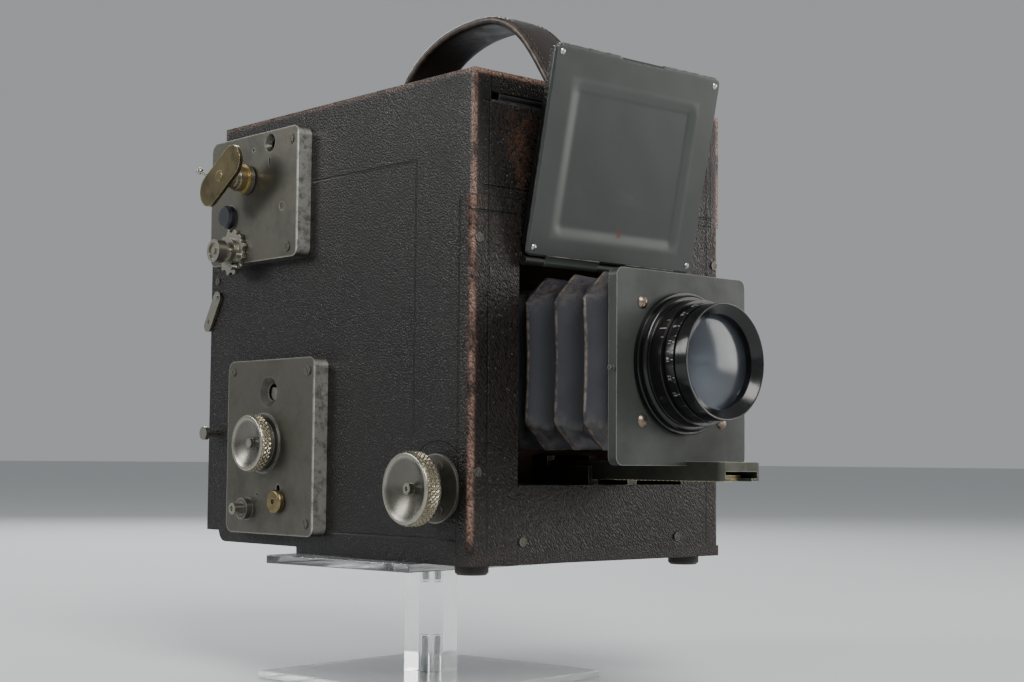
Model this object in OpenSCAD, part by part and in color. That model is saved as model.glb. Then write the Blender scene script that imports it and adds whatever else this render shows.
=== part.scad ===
// Box reflex camera with its lens racked out, on a clear display stand.
// Millimetres. Origin: centre of the stand's base plate, on its underside. The lens looks towards -Y,
// the controls are on the -X side, +Z is up. Camera pieces are drawn in the camera's own frame, whose
// origin is the lower front corner of the case on the control side.

/* [Case] */
// Width of the case
case_w = 129; // [120:1:160]
// Depth of the case without its back section
case_d = 161; // [150:1:200]
// Height of the case
case_h = 175; // [165:1:215]
// Thickness of the side walls
wall_t = 8; // [6:0.5:10]
// Depth of the front frame
frame_t = 5.5; // [4:0.5:7]
// How far the front frame stands proud of the sides
frame_proud = 0.4; // [0:0.1:1]
// Thickness of the panel under the front part
base_t = 4; // [3:0.5:5]
// Depth of that panel
base_d = 104.5; // [90:0.5:120]
// Height of the underside of the rear part
heel_z = 2.5; // [0.5:0.5:3]
// Top of the inner floor
floor_top = 10; // [9:0.5:12]
// Height of the front frame
frame_top = 130; // [124:1:135]
// Thickness of the upper front panel
panel_t = 6; // [5:0.5:7]
// Width of the return of the side walls on the front
corner_w = 4.5; // [3:0.5:6]

/* [Lens opening] */
// Width of the opening
opening_w = 85; // [80:1:92]
// Lower edge of the opening
opening_z = 28; // [26:0.5:29]
// Upper edge of the opening
opening_top = 108; // [107:0.5:112]

/* [Back] */
// Depth of the back frame
back_d = 9; // [8:0.5:12]
// Thickness of the plate holder's flange
holder_flange_t = 3.5; // [2.5:0.5:5]
// Lower edge of the back section
back_z = 7; // [5:0.5:10]
// How far the back section ends below the top of the case
back_drop = 7; // [4:0.5:12]
// Width of the picture gate
gate_w = 83; // [70:1:90]
// Height of the picture gate
gate_h = 108; // [90:1:112]
// Lower edge of the picture gate
gate_z = 17.5; // [14:0.5:22]
// Thickness of the dark slide
slide_t = 0.7; // [0.5:0.1:1]

/* [Hood lid] */
// Thickness of the lid
lid_t = 7.7; // [6:0.1:9]
// Depth of the lid
lid_d = 128; // [115:1:128]
// Gap round the lid
lid_gap = 0.3; // [0.2:0.1:0.6]
// Height of the hinge strip under the lid
lid_strip_h = 3.3; // [3.2:0.1:5]

/* [Carrying strap] */
// Width of the strap
strap_w = 22; // [16:1:28]
// Thickness of the strap
strap_t = 4.4; // [3:0.2:5]
// Height of the strap's middle line over the lid
strap_rise = 37.3; // [30:0.5:45]

/* [Lens standard] */
// How far the front of the lens board stands in front of the case
extension = 40; // [36:1:50]
// Width of the lens board
board_w = 67; // [60:1:68]
// Lower edge of the lens board
board_z = 35.4; // [34.5:0.1:36]
// Height of the lens board
board_h = 68.3; // [64:0.1:69]
// Depth of the lens board's turned edge
board_d = 4; // [3:0.5:5]
// Sheet thickness of the lens board
board_t = 1.4; // [1:0.1:2]
// Height of the lens axis
axis_z = 71.5; // [69:0.5:73]

/* [Lens] */
// Radius of the mounting flange
flange_r = 25.3; // [24:0.1:26]
// Radius of the barrel's wide band
barrel_r = 22.3; // [21:0.1:23.5]
// Radius of the front rim
rim_r = 20.5; // [19:0.1:21]
// Length of the front rim
rim_l = 5.3; // [4:0.1:7]
// Radius of the front glass
glass_r = 16.6; // [14:0.1:17]
// Radius of the bore behind the front glass
barrel_bore_r = 14.5; // [11:0.5:15]
// Outside radius of the aperture ring
ring_r = 21; // [19.5:0.1:21.5]
// Length of the aperture ring
ring_l = 4.2; // [3:0.1:6]
// Radius of the seat that the aperture ring turns on
seat_r = 18; // [17.5:0.1:18.5]

/* [Focusing] */
// Width of the focusing track
track_w = 21.4; // [18:0.2:24]
// Left side of the track, from the middle of the case
track_offset = 2.1; // [0:0.1:4]
// Underside of the track
track_z = 30.1; // [29.6:0.1:30.4]
// Height of the track
track_h = 6.8; // [6:0.1:7.5]
// How far the track runs in front of the lens board
track_front = 16; // [14:0.5:20]
// Length of the track
track_l = 116; // [110:1:130]
// Distance of the focusing shaft behind the front
pinion_y = 18; // [16:0.5:22]
// Teeth of the focusing pinion
pinion_teeth = 10; // [9:1:12]
// Module of the focusing pinion and rack
pinion_m = 0.7; // [0.6:0.05:0.8]
// Width of the rack
rack_w = 11; // [8:0.5:12]
// Radius of the focusing shaft
pinion_shaft_r = 1.85; // [1.5:0.05:2]
// Radius of the focusing knob
focus_knob_r = 12.6; // [10:0.2:14]
// Length of the focusing knob's rim
focus_rim_l = 6.8; // [5:0.2:8]

/* [Front door] */
// Width of the door
door_w = 86.8; // [82:0.2:92]
// Length of the door from its hinge
door_l = 78; // [72:0.5:84]
// Sheet thickness of the door
door_t = 1.2; // [0.8:0.1:1.5]
// Thickness of the covered layer
door_cover_t = 3; // [2:0.2:3]
// How far the door leans forwards from upright
door_lean = 12; // [9:0.5:20]

/* [Controls] */
// Thickness of the two control covers
cover_t = 6; // [5:0.2:8]
// Sheet thickness of the covers
cover_sheet = 1; // [0.8:0.1:1.2]
// Radius of the covers' corners
cover_r = 4; // [2:0.5:6]
// Radius of the shutter shafts
shaft_r = 2; // [1.6:0.1:2.4]
// Radius of the curtain rollers
roller_r = 4.5; // [4:0.1:5]
// Radius of the tension knob
tension_knob_r = 10.9; // [9:0.1:12]
// Radius of the tension dial
tension_dial_r = 22.3; // [20:0.1:22.5]
// Radius of the curtain dial
curtain_dial_r = 15.6; // [15:0.1:15.6]
// Length of the winding key's wing
wing_l = 32; // [22:1:34]
// Width of the winding key's wing
wing_w = 13; // [9:0.5:15]

/* [Mirror] */
// Width of the mirror
mirror_w = 88; // [80:1:90]
// Length of the mirror from its pivot
mirror_l = 105; // [90:1:105]
// Thickness of the mirror glass
mirror_t = 2; // [1.5:0.5:3]
// Thickness of the mirror frame
mirror_frame_t = 2; // [1.5:0.5:2.5]

/* [Display stand] */
// Side of the base plate
stand_side = 94; // [80:1:130]
// Thickness of the base plate
stand_base_t = 3; // [2:0.5:5]
// Side of the post
post_side = 14.5; // [12:0.5:20]
// Length of the post
post_l = 41.8; // [30:0.2:80]
// Width of the top plate
plate_w = 104; // [90:1:120]
// Depth of the top plate
plate_d = 76; // [60:1:80]
// Thickness of the top plate
plate_t = 3.2; // [2:0.1:5]
// How far the stand is turned under the camera
stand_turn = 7.5; // [-15:0.5:15]
// Distance of the post from the control side
post_x = 41; // [36:1:60]
// Distance of the post from the front
post_y = 71; // [64:1:80]

/* [Hidden] */
$fn = 48;

// Clearances
shaft_gap = 0.05;        // radial, a shaft in its bearing
slip = 0.3;              // a sliding piece beside its neighbour
touch = 0.02;            // a screw shank in its hole, radial

// Places in the camera's frame
stand_h = stand_base_t + post_l + plate_t;
mid_x = case_w / 2;
inner_w = case_w - 2 * wall_t;
opening_x = mid_x - opening_w / 2;
lid_z = case_h - lid_t;
panel_top = lid_z - lid_strip_h;
back_y = case_d;
back_top = case_h - back_drop;
back_h = back_top - back_z;
board_y = -extension;
board_x = mid_x - board_w / 2;
track_x = mid_x + track_offset;
track_y = board_y - track_front;
rack_x = track_x + (track_w - rack_w) / 2;
pinion_r = pinion_teeth * pinion_m / 2;
tooth_tip = 0.6;         // height of a fine tooth over its pitch line, in modules
tooth_root = 0.95;       // depth of a fine tooth under its pitch line, in modules
rack_pitch_z = track_z + 0.1;
pinion_z = rack_pitch_z - pinion_r;
frame_y = 38;            // front of the bellows frame
bellows_frame_t = 4.5;
lid_hinge_y = 1.6;
lid_hinge_z = lid_z - 1;
lid_knuckle_r = 1.4;
door_hinge_y = -2;
door_hinge_z = opening_top + 0.2;
door_knuckle_r = 1.6;
hinge_pin_r = 0.9;

// Control covers: near edge, lower edge, depth and height on the side of the case
lower_y = case_d - 76;
lower_z = 7;
lower_w = 61;
lower_h = 69;
upper_y = case_d - 62.5;
upper_z = case_h - 59;
upper_w = 63.5;
upper_h = 52;

// Shafts and controls on the side, as [y, z]
key_at = [case_d - 26.4, case_h - 25];
tension_at = [case_d - 41.2, 42.8];
curtain_dial_at = key_at - [18, 0];
tension_teeth = 57;
roller_teeth = 17;
roller_angle = -36;
lower_roller_at = tension_at + (tension_teeth + roller_teeth) / 2 * [cos(roller_angle), sin(roller_angle)];
upper_window_at = curtain_dial_at + [2.4, 13.2];
lower_window_at = tension_at + [-2.9, 20.2];
stud_at = tension_at + [10.8, -26];
button_at = tension_at + [-10.8, -22.8];
dark_at = key_at + [13.1, -14.2];
setting_at = key_at + [8.9, -29.2];
lever_at = key_at + [22.4, 2];
pull_at = [back_y + 2.5, 47];
latch_at = [back_y + 3, 104];
latch_end = [back_y + 10, 92.5];
key_teeth = 9;
dial_teeth = 27;

// Mirror
mirror_y = case_d - 11;
mirror_z = case_h - 42;
mirror_pivot_r = 1.5;
mirror_box_x = mid_x - 48.5;
mirror_box_t = 1.5;
curtain_y = lower_roller_at[0] + roller_r + 0.5;
curtain_t = 0.6;
gg_z = case_h - 37;
gg_y = 43;
gg_d = case_d - 33 - gg_y;
gg_pane = [88, 80];

// Screws as [place, head radius]: on the side they look towards -X, on the front towards -Y
side_screws = [
    [[-cover_t, lower_y + 4.9, lower_z + 63.7], 1.9], [[-cover_t, lower_y + 5.3, lower_z + 4.8], 1.9],
    [[-cover_t, lower_y + 57.3, lower_z + 64.5], 1.6],
    [[-cover_t, upper_y + 5.4, upper_z + 46.8], 1.9], [[-cover_t, upper_y + 7.2, upper_z + 4], 1.9],
    [[-1.2, pinion_y - 2.9, pinion_z + 7.8], 1.5], [[-1.2, pinion_y - 2.9, pinion_z - 7.8], 1.5],
    [[0, back_y + 4, 111], 1.4]
];
front_screws = [
    [2.8, 114.8], [3, 32.7], [24.3, 8], [case_w - 2.8, 114.8], [case_w - 3, 32.7], [case_w - 24.3, 8]
];
front_screw_r = 1.6;
screw_shank_r = 0.8;
head_h = 0.5;
feet_at = [[9.5, 10], [case_w - 9.5, 10]];
foot_r = 6;
foot_h = 3.5;
camera_screw_at = [mid_x, post_y];
camera_screw_r = 3.1;
board_screws = [for (a = [45, 135, 225, 315]) [mid_x + 29.2 * cos(a), axis_z + 29.2 * sin(a)]];

// Placing helpers
module camera() translate([-post_x, -post_y, stand_h]) children();
module stand() rotate([0, 0, stand_turn]) children();
// Draws towards +X, with the drawing's x along Y and its y along Z
module side_at(x, yz = [0, 0]) translate([x, yz[0], yz[1]]) rotate([90, 0, 90]) children();
// Draws towards -Y, with the drawing's y along Z
module front_at(y, xz = [0, 0]) translate([xz[0], y, xz[1]]) rotate([90, 0, 0]) children();

// Rectangle with round corners, its lower left corner at the origin
module round_rect(w, h, r) {
    translate([r, 0]) square([w - 2 * r, h]);
    translate([0, r]) square([w, h - 2 * r]);
    for (x = [r, w - r], y = [r, h - r]) translate([x, y]) circle(r);
}

// Bar of length l between the middles of its round ends, starting at the origin
module round_bar(l, r) {
    translate([0, -r]) square([l, 2 * r]);
    for (x = [0, l]) translate([x, 0]) circle(r);
}

// Disc of thickness h with a hole
module washer(r, h, hole) difference() {
    cylinder(r = r, h = h);
    translate([0, 0, -1]) cylinder(r = hole, h = h + 2);
}

// Straight round rod between two points
module rod(a, b, r) {
    d = b - a;
    l = norm(d);
    translate(a) rotate([0, acos(d[2] / l), atan2(d[1], d[0])]) cylinder(r = r, h = l);
}

// Slotted screw: head up from z = 0, shank down
module slotted_screw(r, shank_l) {
    difference() {
        cylinder(r = r, h = head_h);
        translate([-r, -0.2, head_h - 0.3]) cube([2 * r, 0.4, 1]);
    }
    translate([0, 0, -shank_l]) cylinder(r = screw_shank_r, h = shank_l);
}

// Toothed outlines: half the angle of a tooth at radius r, in degrees
function involute(a) = tan(a) * 180 / PI - a;
function half_tooth(r, teeth, m, thin) =
    let (base = teeth * m / 2 * cos(20))
    90 / teeth - thin + involute(20) - (r > base ? involute(acos(base / r)) : 0);
function ring_point(r, a) = [r * cos(a), r * sin(a)];
module gear(teeth, m, turn, h, play = 0.12) {
    pitch = teeth * m / 2;
    thin = play / pitch * 180 / PI;
    radii = [pitch - 0.95 * m, pitch - 0.4 * m, pitch, pitch + 0.4 * m, pitch + 0.75 * m];
    points = [
        for (k = [0:teeth - 1]) each concat(
            [for (i = [0:4])
                ring_point(radii[i], turn + 360 * k / teeth - half_tooth(radii[i], teeth, m, thin))],
            [for (i = [4:-1:0])
                ring_point(radii[i], turn + 360 * k / teeth + half_tooth(radii[i], teeth, m, thin))]
        )
    ];
    linear_extrude(h) polygon(points);
}

// ---- Case ----
module base_panel() color("#1b1614") camera() difference() {
    translate([0, 0, 0]) cube([case_w, base_d, base_t]);
    translate([camera_screw_at[0], camera_screw_at[1], -1]) cylinder(r = 9, h = base_t + 2);
    for (p = feet_at) translate([p[0], p[1], -1]) cylinder(r = screw_shank_r + touch, h = 4);
}

module floor_board() color("#3a2a1e") camera() difference() {
    union() {
        translate([wall_t, frame_t, base_t]) cube([inner_w, case_d - frame_t, floor_top - base_t]);
        translate([wall_t, base_d, heel_z]) cube([inner_w, case_d - base_d, base_t]);
    }
    translate([camera_screw_at[0], camera_screw_at[1], 0]) cylinder(r = 9, h = 20);
}

// Side outline of a wall, in y and z
module wall_outline() difference() {
    union() {
        translate([frame_t, base_t]) square([base_d - frame_t, frame_top - base_t]);
        translate([base_d, heel_z + 5]) square([case_d - base_d, frame_top - heel_z - 5]);
        translate([base_d, heel_z]) square([case_d - base_d - 5, 5]);
        translate([case_d - 5, heel_z + 5]) circle(5);
        translate([0, frame_top]) square([case_d, case_h - frame_top]);
    }
}

// Wall with its inner face at x = wall_t; the outer face carries the return on the front
module wall() difference() {
    side_at(0) linear_extrude(wall_t) wall_outline();
    translate([corner_w, -1, frame_top]) cube([wall_t, panel_t + 1, panel_top - frame_top]);
}

module side_wall_left() color("#1b1614") camera() difference() {
    wall();
    side_at(-1, [pinion_y, pinion_z]) cylinder(r = pinion_shaft_r + shaft_gap, h = wall_t + 2);
    for (p = [key_at, tension_at]) side_at(-1, p) cylinder(r = shaft_r + shaft_gap, h = wall_t + 2);
    side_at(-1, curtain_dial_at) cylinder(r = 1.2 + shaft_gap, h = 6);
    side_at(-1, stud_at) cylinder(r = 2.5, h = 6);
    side_at(-1, dark_at) cylinder(r = 2.2, h = 6);
    side_at(-1, setting_at) cylinder(r = 1.5 + shaft_gap, h = 6);
    side_at(-1, lever_at) cylinder(r = 1.2 + shaft_gap, h = 6);
    for (s = side_screws) if (s[0][1] < case_d)
        side_at(-1, [s[0][1], s[0][2]]) cylinder(r = screw_shank_r + touch, h = 6);
}

module side_wall_right() color("#1b1614") camera() difference() {
    translate([case_w, 0, 0]) mirror([1, 0, 0]) wall();
    for (p = [key_at, lower_roller_at])
        side_at(case_w - wall_t - 1, p) cylinder(r = shaft_r + shaft_gap, h = 6);
}

// Plan of a stile with its outer front corner rounded
module stile_plan() {
    translate([2.5, 0]) square([opening_x + frame_proud - 2.5, frame_t]);
    translate([0, 2.5]) square([4, frame_t - 2.5]);
    translate([2.5, 2.5]) circle(2.5);
}

module front_frame() color("#2a1d18") camera() difference() {
    union() {
        translate([-frame_proud, 0, base_t]) linear_extrude(frame_top - base_t) stile_plan();
        translate([case_w + frame_proud, 0, base_t]) mirror([1, 0, 0])
            linear_extrude(frame_top - base_t) stile_plan();
        translate([opening_x, 0, base_t]) cube([opening_w, frame_t, opening_z - base_t]);
    }
    for (p = front_screws) front_at(4, p) cylinder(r = screw_shank_r + touch, h = 6);
}

module front_upper_panel() color("#2a1d18") camera() {
    front_at(panel_t) linear_extrude(panel_t) {
        translate([opening_x, opening_top]) square([opening_w, frame_top - opening_top + 1]);
        translate([corner_w, frame_top]) square([case_w - 2 * corner_w, panel_top - frame_top]);
    }
}

module top_rear_panel() color("#1b1614") camera()
    translate([wall_t, lid_d + lid_gap, lid_z]) cube([inner_w, case_d - lid_d - lid_gap, lid_t]);

holder_w = gate_w + 18;
holder_h = gate_h + 24;
holder_z = gate_z - 8;
slide_y = back_y + 5;
slide_w = gate_w + 6;

module back_frame() color("#1b1614") camera() difference() {
    translate([0, back_y, back_z]) cube([case_w, back_d, back_h]);
    translate([mid_x - gate_w / 2, back_y - 1, gate_z]) cube([gate_w, back_d + 2, gate_h]);
    translate([mid_x - holder_w / 2, back_y + 3, holder_z]) cube([holder_w, back_d, holder_h]);
    translate([mid_x - slide_w / 2 - slip, slide_y - slip, holder_z])
        cube([slide_w + 2 * slip, slide_t + 2 * slip, case_h]);
    side_at(-1, pull_at) cylinder(r = 1.4 + shaft_gap, h = 9);
    side_at(-1, latch_at) cylinder(r = 1 + shaft_gap, h = 6);
    side_at(-1, [back_y + 4, 111]) cylinder(r = screw_shank_r + touch, h = 6);
}

module plate_holder() color("#17130f") camera() difference() {
    union() {
        translate([mid_x - holder_w / 2, back_y + 3, holder_z]) cube([holder_w, back_d - 3, holder_h]);
        translate([2, back_y + back_d, back_z + 2]) cube([case_w - 4, holder_flange_t, back_h - 4]);
    }
    translate([mid_x - gate_w / 2, back_y, gate_z]) cube([gate_w, back_d - 2.5, gate_h]);
    translate([mid_x - slide_w / 2 - slip, slide_y - slip, gate_z - 3])
        cube([slide_w + 2 * slip, slide_t + 2 * slip, case_h]);
}

module dark_slide() color("#20201f") camera() {
    translate([mid_x - slide_w / 2, slide_y, gate_z - 3 + slip])
        cube([slide_w, slide_t, back_top + 0.6 - gate_z + 3 - slip]);
    translate([mid_x - 12, slide_y - 1, back_top + 0.6]) cube([24, slide_t + 2, 4.4]);
}

module back_latch() color("#a79a7c") camera() {
    d = latch_end - latch_at;
    side_at(-1.4, latch_at) rotate([0, 0, atan2(d[1], d[0])]) difference() {
        linear_extrude(1.2) round_bar(norm(d), 2.6);
        translate([0.85 * norm(d), 0, -0.3]) cylinder(r = 0.9, h = 0.8);
    }
    side_at(-2, latch_at) cylinder(r = 1, h = 5);
}

module pull_pin() color("#b8ab8e") camera() side_at(0, pull_at) {
    translate([0, 0, -7]) cylinder(r = 2.75, h = 1.8);
    translate([0, 0, -5.3]) cylinder(r = 1.4, h = 11.3);
}

module feet() color("#15110f") camera() for (p = feet_at) translate([p[0], p[1], -foot_h]) {
    cylinder(r1 = foot_r - 0.9, r2 = foot_r, h = 0.9);
    translate([0, 0, 0.9]) cylinder(r = foot_r, h = foot_h - 0.9);
    translate([0, 0, foot_h]) cylinder(r = screw_shank_r, h = 3);
}

module tripod_bush() color("#9c8656") camera() translate([camera_screw_at[0], camera_screw_at[1], 0])
    washer(9, floor_top, 3.175);

module case_screws() color("#8f8a6a") camera() {
    for (s = side_screws) translate(s[0]) rotate([0, -90, 0])
        rotate([0, 0, 30]) slotted_screw(s[1], 4 - s[0][0]);
    for (p = front_screws) front_at(0, p) rotate([0, 0, 55]) slotted_screw(front_screw_r, 4);
}

// Ring of knuckles along X: inner radius leaves a running gap round the pin
module knuckle(x0, x1, r, gap) side_at(x0) washer(r, x1 - x0, hinge_pin_r + gap);

module case_hinges() color("#4a4a46") camera() {
    // Door hinge: leaf and three knuckles on the case, and the pin
    opening_end = mid_x + opening_w / 2;
    for (x = [[opening_x, opening_x + 9], [mid_x - 6.5, mid_x + 6.5], [opening_end - 9, opening_end]]) {
        translate([0, door_hinge_y, door_hinge_z]) knuckle(x[0], x[1], door_knuckle_r, 0);
        translate([x[0], -0.8, door_hinge_z]) cube([x[1] - x[0], 0.8, 3]);
        translate([x[0], door_hinge_y, door_hinge_z + 0.95]) cube([x[1] - x[0], -door_hinge_y, 0.6]);
    }
    side_at(opening_x, [door_hinge_y, door_hinge_z]) cylinder(r = hinge_pin_r, h = opening_w);
    // Lid hinge: strip with two knuckles on the case, and the pin
    translate([wall_t + lid_gap, 0.4, panel_top]) cube([inner_w - 2 * lid_gap, panel_t - 0.8, 0.5]);
    for (x = [[wall_t + 4, mid_x - 26], [mid_x + 26, case_w - wall_t - 4]]) {
        translate([0, lid_hinge_y, lid_hinge_z]) knuckle(x[0], x[1], lid_knuckle_r, 0);
        translate([x[0], lid_hinge_y - 0.8, panel_top])
            cube([x[1] - x[0], 1.6, lid_hinge_z - panel_top - hinge_pin_r]);
    }
    side_at(wall_t + 4, [lid_hinge_y, lid_hinge_z]) cylinder(r = hinge_pin_r, h = inner_w - 8);
}

// ---- Top ----
strap_x = mid_x - strap_w / 2;
// Middle line of the strap as two joined cubic curves, in y and z
strap_front = [17.5, case_h + strap_t / 2];
strap_back = [lid_d - 9, case_h + strap_t / 2];
strap_peak = [62, case_h + strap_rise];
function cubic(p, t) =
    pow(1 - t, 3) * p[0] + 3 * pow(1 - t, 2) * t * p[1] + 3 * (1 - t) * t * t * p[2] + pow(t, 3) * p[3];
function slope(p, t) =
    3 * pow(1 - t, 2) * (p[1] - p[0]) + 6 * (1 - t) * t * (p[2] - p[1]) + 3 * t * t * (p[3] - p[2]);
strap_curves = [
    [strap_front, [31, case_h + 0.57 * strap_rise], [38, case_h + strap_rise], strap_peak],
    [strap_peak, [88, case_h + strap_rise], [lid_d - 21, case_h + 0.75 * strap_rise], strap_back]
];
strap_steps = 10;
function strap_edge(off) = [
    for (c = [0, 1], i = [0:strap_steps - 1 + c])
        let (p = strap_curves[c], t = i / strap_steps, d = slope(p, t), n = [-d[1], d[0]] / norm(d))
        cubic(p, t) + off * n
];

module hood_lid() color("#1b1614") camera() difference() {
    union() {
        translate([wall_t + lid_gap, 0, lid_z]) cube([inner_w - 2 * lid_gap, lid_d, lid_t]);
        translate([0, lid_hinge_y, lid_hinge_z])
            knuckle(mid_x - 26 + lid_gap, mid_x + 26 - lid_gap, lid_knuckle_r, shaft_gap);
    }
    side_at(wall_t, [lid_hinge_y, lid_hinge_z]) cylinder(r = hinge_pin_r + shaft_gap, h = inner_w);
    for (x = [[wall_t, mid_x - 26 + lid_gap], [mid_x + 26 - lid_gap, case_w - wall_t]])
        side_at(x[0], [lid_hinge_y, lid_hinge_z]) cylinder(r = lid_knuckle_r + 0.15, h = x[1] - x[0]);
}

module carrying_strap() color("#2b211d") camera() side_at(strap_x) linear_extrude(strap_w) {
    outer = strap_edge(strap_t / 2);
    inner = strap_edge(-strap_t / 2);
    last = 2 * strap_steps;
    polygon(concat(
        [[strap_front[0] - 9, case_h], [strap_front[0] - 9, case_h + strap_t],
            [strap_front[0] - 2, case_h + strap_t]],
        [for (i = [1:last - 1]) outer[i]],
        [[strap_back[0] + 2, case_h + strap_t], [strap_back[0] + 8.5, case_h + strap_t],
            [strap_back[0] + 8.5, case_h]],
        [[strap_back[0] - 2.6, case_h]],
        [for (i = [last - 1:-1:1]) inner[i]],
        [[strap_front[0] + 2.6, case_h]]
    ));
}

// Strap plates: a low bridge over each flat end of the strap
module strap_brackets() color("#57534c") camera()
    for (y = [strap_front[0] - 8, strap_back[0] + 3.5]) difference() {
    translate([strap_x - 3, y, case_h]) cube([strap_w + 6, 4, strap_t + 1.2]);
    translate([strap_x, y - 1, case_h - 1]) cube([strap_w, 6, strap_t + 1]);
}

hood_folds = 5;
module focusing_hood() color("#221f1f") camera() difference() {
    union() for (i = [0:hood_folds - 1]) {
        inset = i % 2 == 0 ? 0 : 2;
        translate([wall_t + 6 + inset, 10 + inset, gg_z + 8 + i * 3.4])
            cube([inner_w - 12 - 2 * inset, gg_y + gg_d - 14 - 2 * inset, 3.4]);
    }
    translate([mid_x - gg_pane[0] / 2 + 4, gg_y + 10, gg_z]) cube([gg_pane[0] - 8, gg_pane[1] - 14, 40]);
}

module ground_glass_frame() color("#33271d") camera() difference() {
    translate([wall_t, gg_y, gg_z]) cube([inner_w, gg_d, 7]);
    translate([mid_x - gg_pane[0] / 2, gg_y + 2, gg_z + 1]) cube([gg_pane[0], gg_pane[1], 10]);
    translate([mid_x - gg_pane[0] / 2 + 2, gg_y + 4, gg_z - 1]) cube([gg_pane[0] - 4, gg_pane[1] - 4, 10]);
}

module ground_glass() color("#c9d3cf") camera()
    translate([mid_x - gg_pane[0] / 2, gg_y + 2, gg_z + 1]) cube([gg_pane[0], gg_pane[1], 2]);

// ---- Front door ----
// Door frame: origin on the hinge axis at the middle of the case, z along the door
module door() camera() translate([mid_x, door_hinge_y, door_hinge_z]) rotate([door_lean, 0, 0]) children();
door_face = -2.2;        // front of the sheet
door_foot = 2;           // lower edge of the sheet above the hinge axis
door_knuckles = [[-opening_w / 2 + 9 + slip, -6.5 - slip], [6.5 + slip, opening_w / 2 - 9 - slip]];
rivets_at = [for (x = [-1, 1], z = [5, door_l - 3.2]) [x * (door_w / 2 - 3.2), z]];

module front_door() color("#55605a") door() {
    difference() {
        union() {
            translate([0, door_face + door_t, 0]) rotate([90, 0, 0]) linear_extrude(door_t)
                translate([-door_w / 2, door_foot]) round_rect(door_w, door_l - door_foot, 2);
            // Top edge turned back over the covered layer
            translate([-door_w / 2 + 3, door_face, door_l - door_t])
                cube([door_w - 6, door_cover_t, door_t]);
        }
        // Pressed recess
        translate([0, door_face + 0.5, 0]) rotate([90, 0, 0]) linear_extrude(2)
            translate([-32, 10.5]) round_rect(64, door_l - 23, 5);
        // Catch notch
        translate([-11, door_face - 1, door_l - door_t - 0.1]) cube([22, 1.6, 3]);
        for (p = rivets_at) translate([p[0], 1, p[1]]) rotate([90, 0, 0]) cylinder(r = 0.7 + touch, h = 5);
    }
    for (k = door_knuckles) difference() {
        union() {
            side_at(k[0]) cylinder(r = door_knuckle_r, h = k[1] - k[0]);
            translate([k[0], -door_knuckle_r, 0]) cube([k[1] - k[0], 0.8, door_foot + 0.5]);
            translate([k[0], door_face, door_foot]) cube([k[1] - k[0], 1.4, 0.6]);
        }
        side_at(k[0] - 1) cylinder(r = hinge_pin_r + shaft_gap, h = k[1] - k[0] + 2);
    }
}

module door_leather() color("#201a18") door() difference() {
    translate([0, door_face + door_t + door_cover_t, 0]) rotate([90, 0, 0]) linear_extrude(door_cover_t)
        translate([-door_w / 2 + 0.8, 4]) round_rect(door_w - 1.6, door_l - 4 - door_t - 0.2, 2);
    for (p = rivets_at) translate([p[0], 3, p[1]]) rotate([90, 0, 0]) cylinder(r = 0.7 + touch, h = 5);
}

module door_rivets() color("#b9bdb8") door()
    for (p = rivets_at) translate([p[0], door_face, p[1]]) rotate([90, 0, 0]) {
    intersection() {
        translate([0, 0, -0.9]) sphere(1.5);
        cylinder(r = 1.2, h = 2);
    }
    translate([0, 0, -3]) cylinder(r = 0.7, h = 3);
}

// ---- Lens standard ----
board_foot = 6.5;         // depth of the board's foot on the track
module lens_board() color("#5d6862") camera() {
    difference() {
        front_at(board_y + board_d, [board_x, board_z])
            linear_extrude(board_d) round_rect(board_w, board_h, 3);
        translate([0, 0, 0]) front_at(board_y + board_d + 1, [board_x + board_t, board_z + board_t])
            linear_extrude(board_d + 1 - board_t)
                round_rect(board_w - 2 * board_t, board_h - 2 * board_t, 2);
        front_at(board_y + 2, [mid_x, axis_z]) cylinder(r = seat_r + touch, h = 4);
        translate([track_x - 0.1, board_y - 1, board_z - 1])
            cube([track_w + 0.2, board_d + 2, track_z + track_h - board_z + 1]);
        for (p = board_screws) front_at(board_y + 2, p) cylinder(r = screw_shank_r + touch, h = 4);
    }
    // Foot on the track, folded back from the board
    translate([track_x, board_y + 0.4, track_z + track_h]) cube([track_w, board_foot, 1.4]);
    // Index pin in the near edge
    side_at(board_x - 1.6, [board_y + 2, axis_z - 2.6]) cylinder(r = 0.8, h = 2.2);
}

module lens_board_screws() color("#b3aa92") camera() for (i = [0:3]) front_at(board_y, board_screws[i]) {
    difference() {
        intersection() {
            translate([0, 0, -1.6]) sphere(2.9);
            cylinder(r = 2.3, h = 2);
        }
        rotate([0, 0, 20 + 50 * i]) translate([-3, -0.25, 0.8]) cube([6, 0.5, 2]);
    }
    translate([0, 0, -3]) cylinder(r = screw_shank_r, h = 3);
}

flange_t = 2.2;
step_l = 2.3;            // rounded step behind the wide band
band_l = 5.5;            // wide band
ring_y = board_y - flange_t - step_l - band_l;
rim_y = ring_y - ring_l - 2 * slip;
module lens_flange() color("#141414") camera() front_at(board_y, [mid_x, axis_z]) difference() {
    cylinder(r = flange_r, h = flange_t);
    translate([0, 0, -1]) cylinder(r = seat_r + touch, h = flange_t + 2);
}

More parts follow.
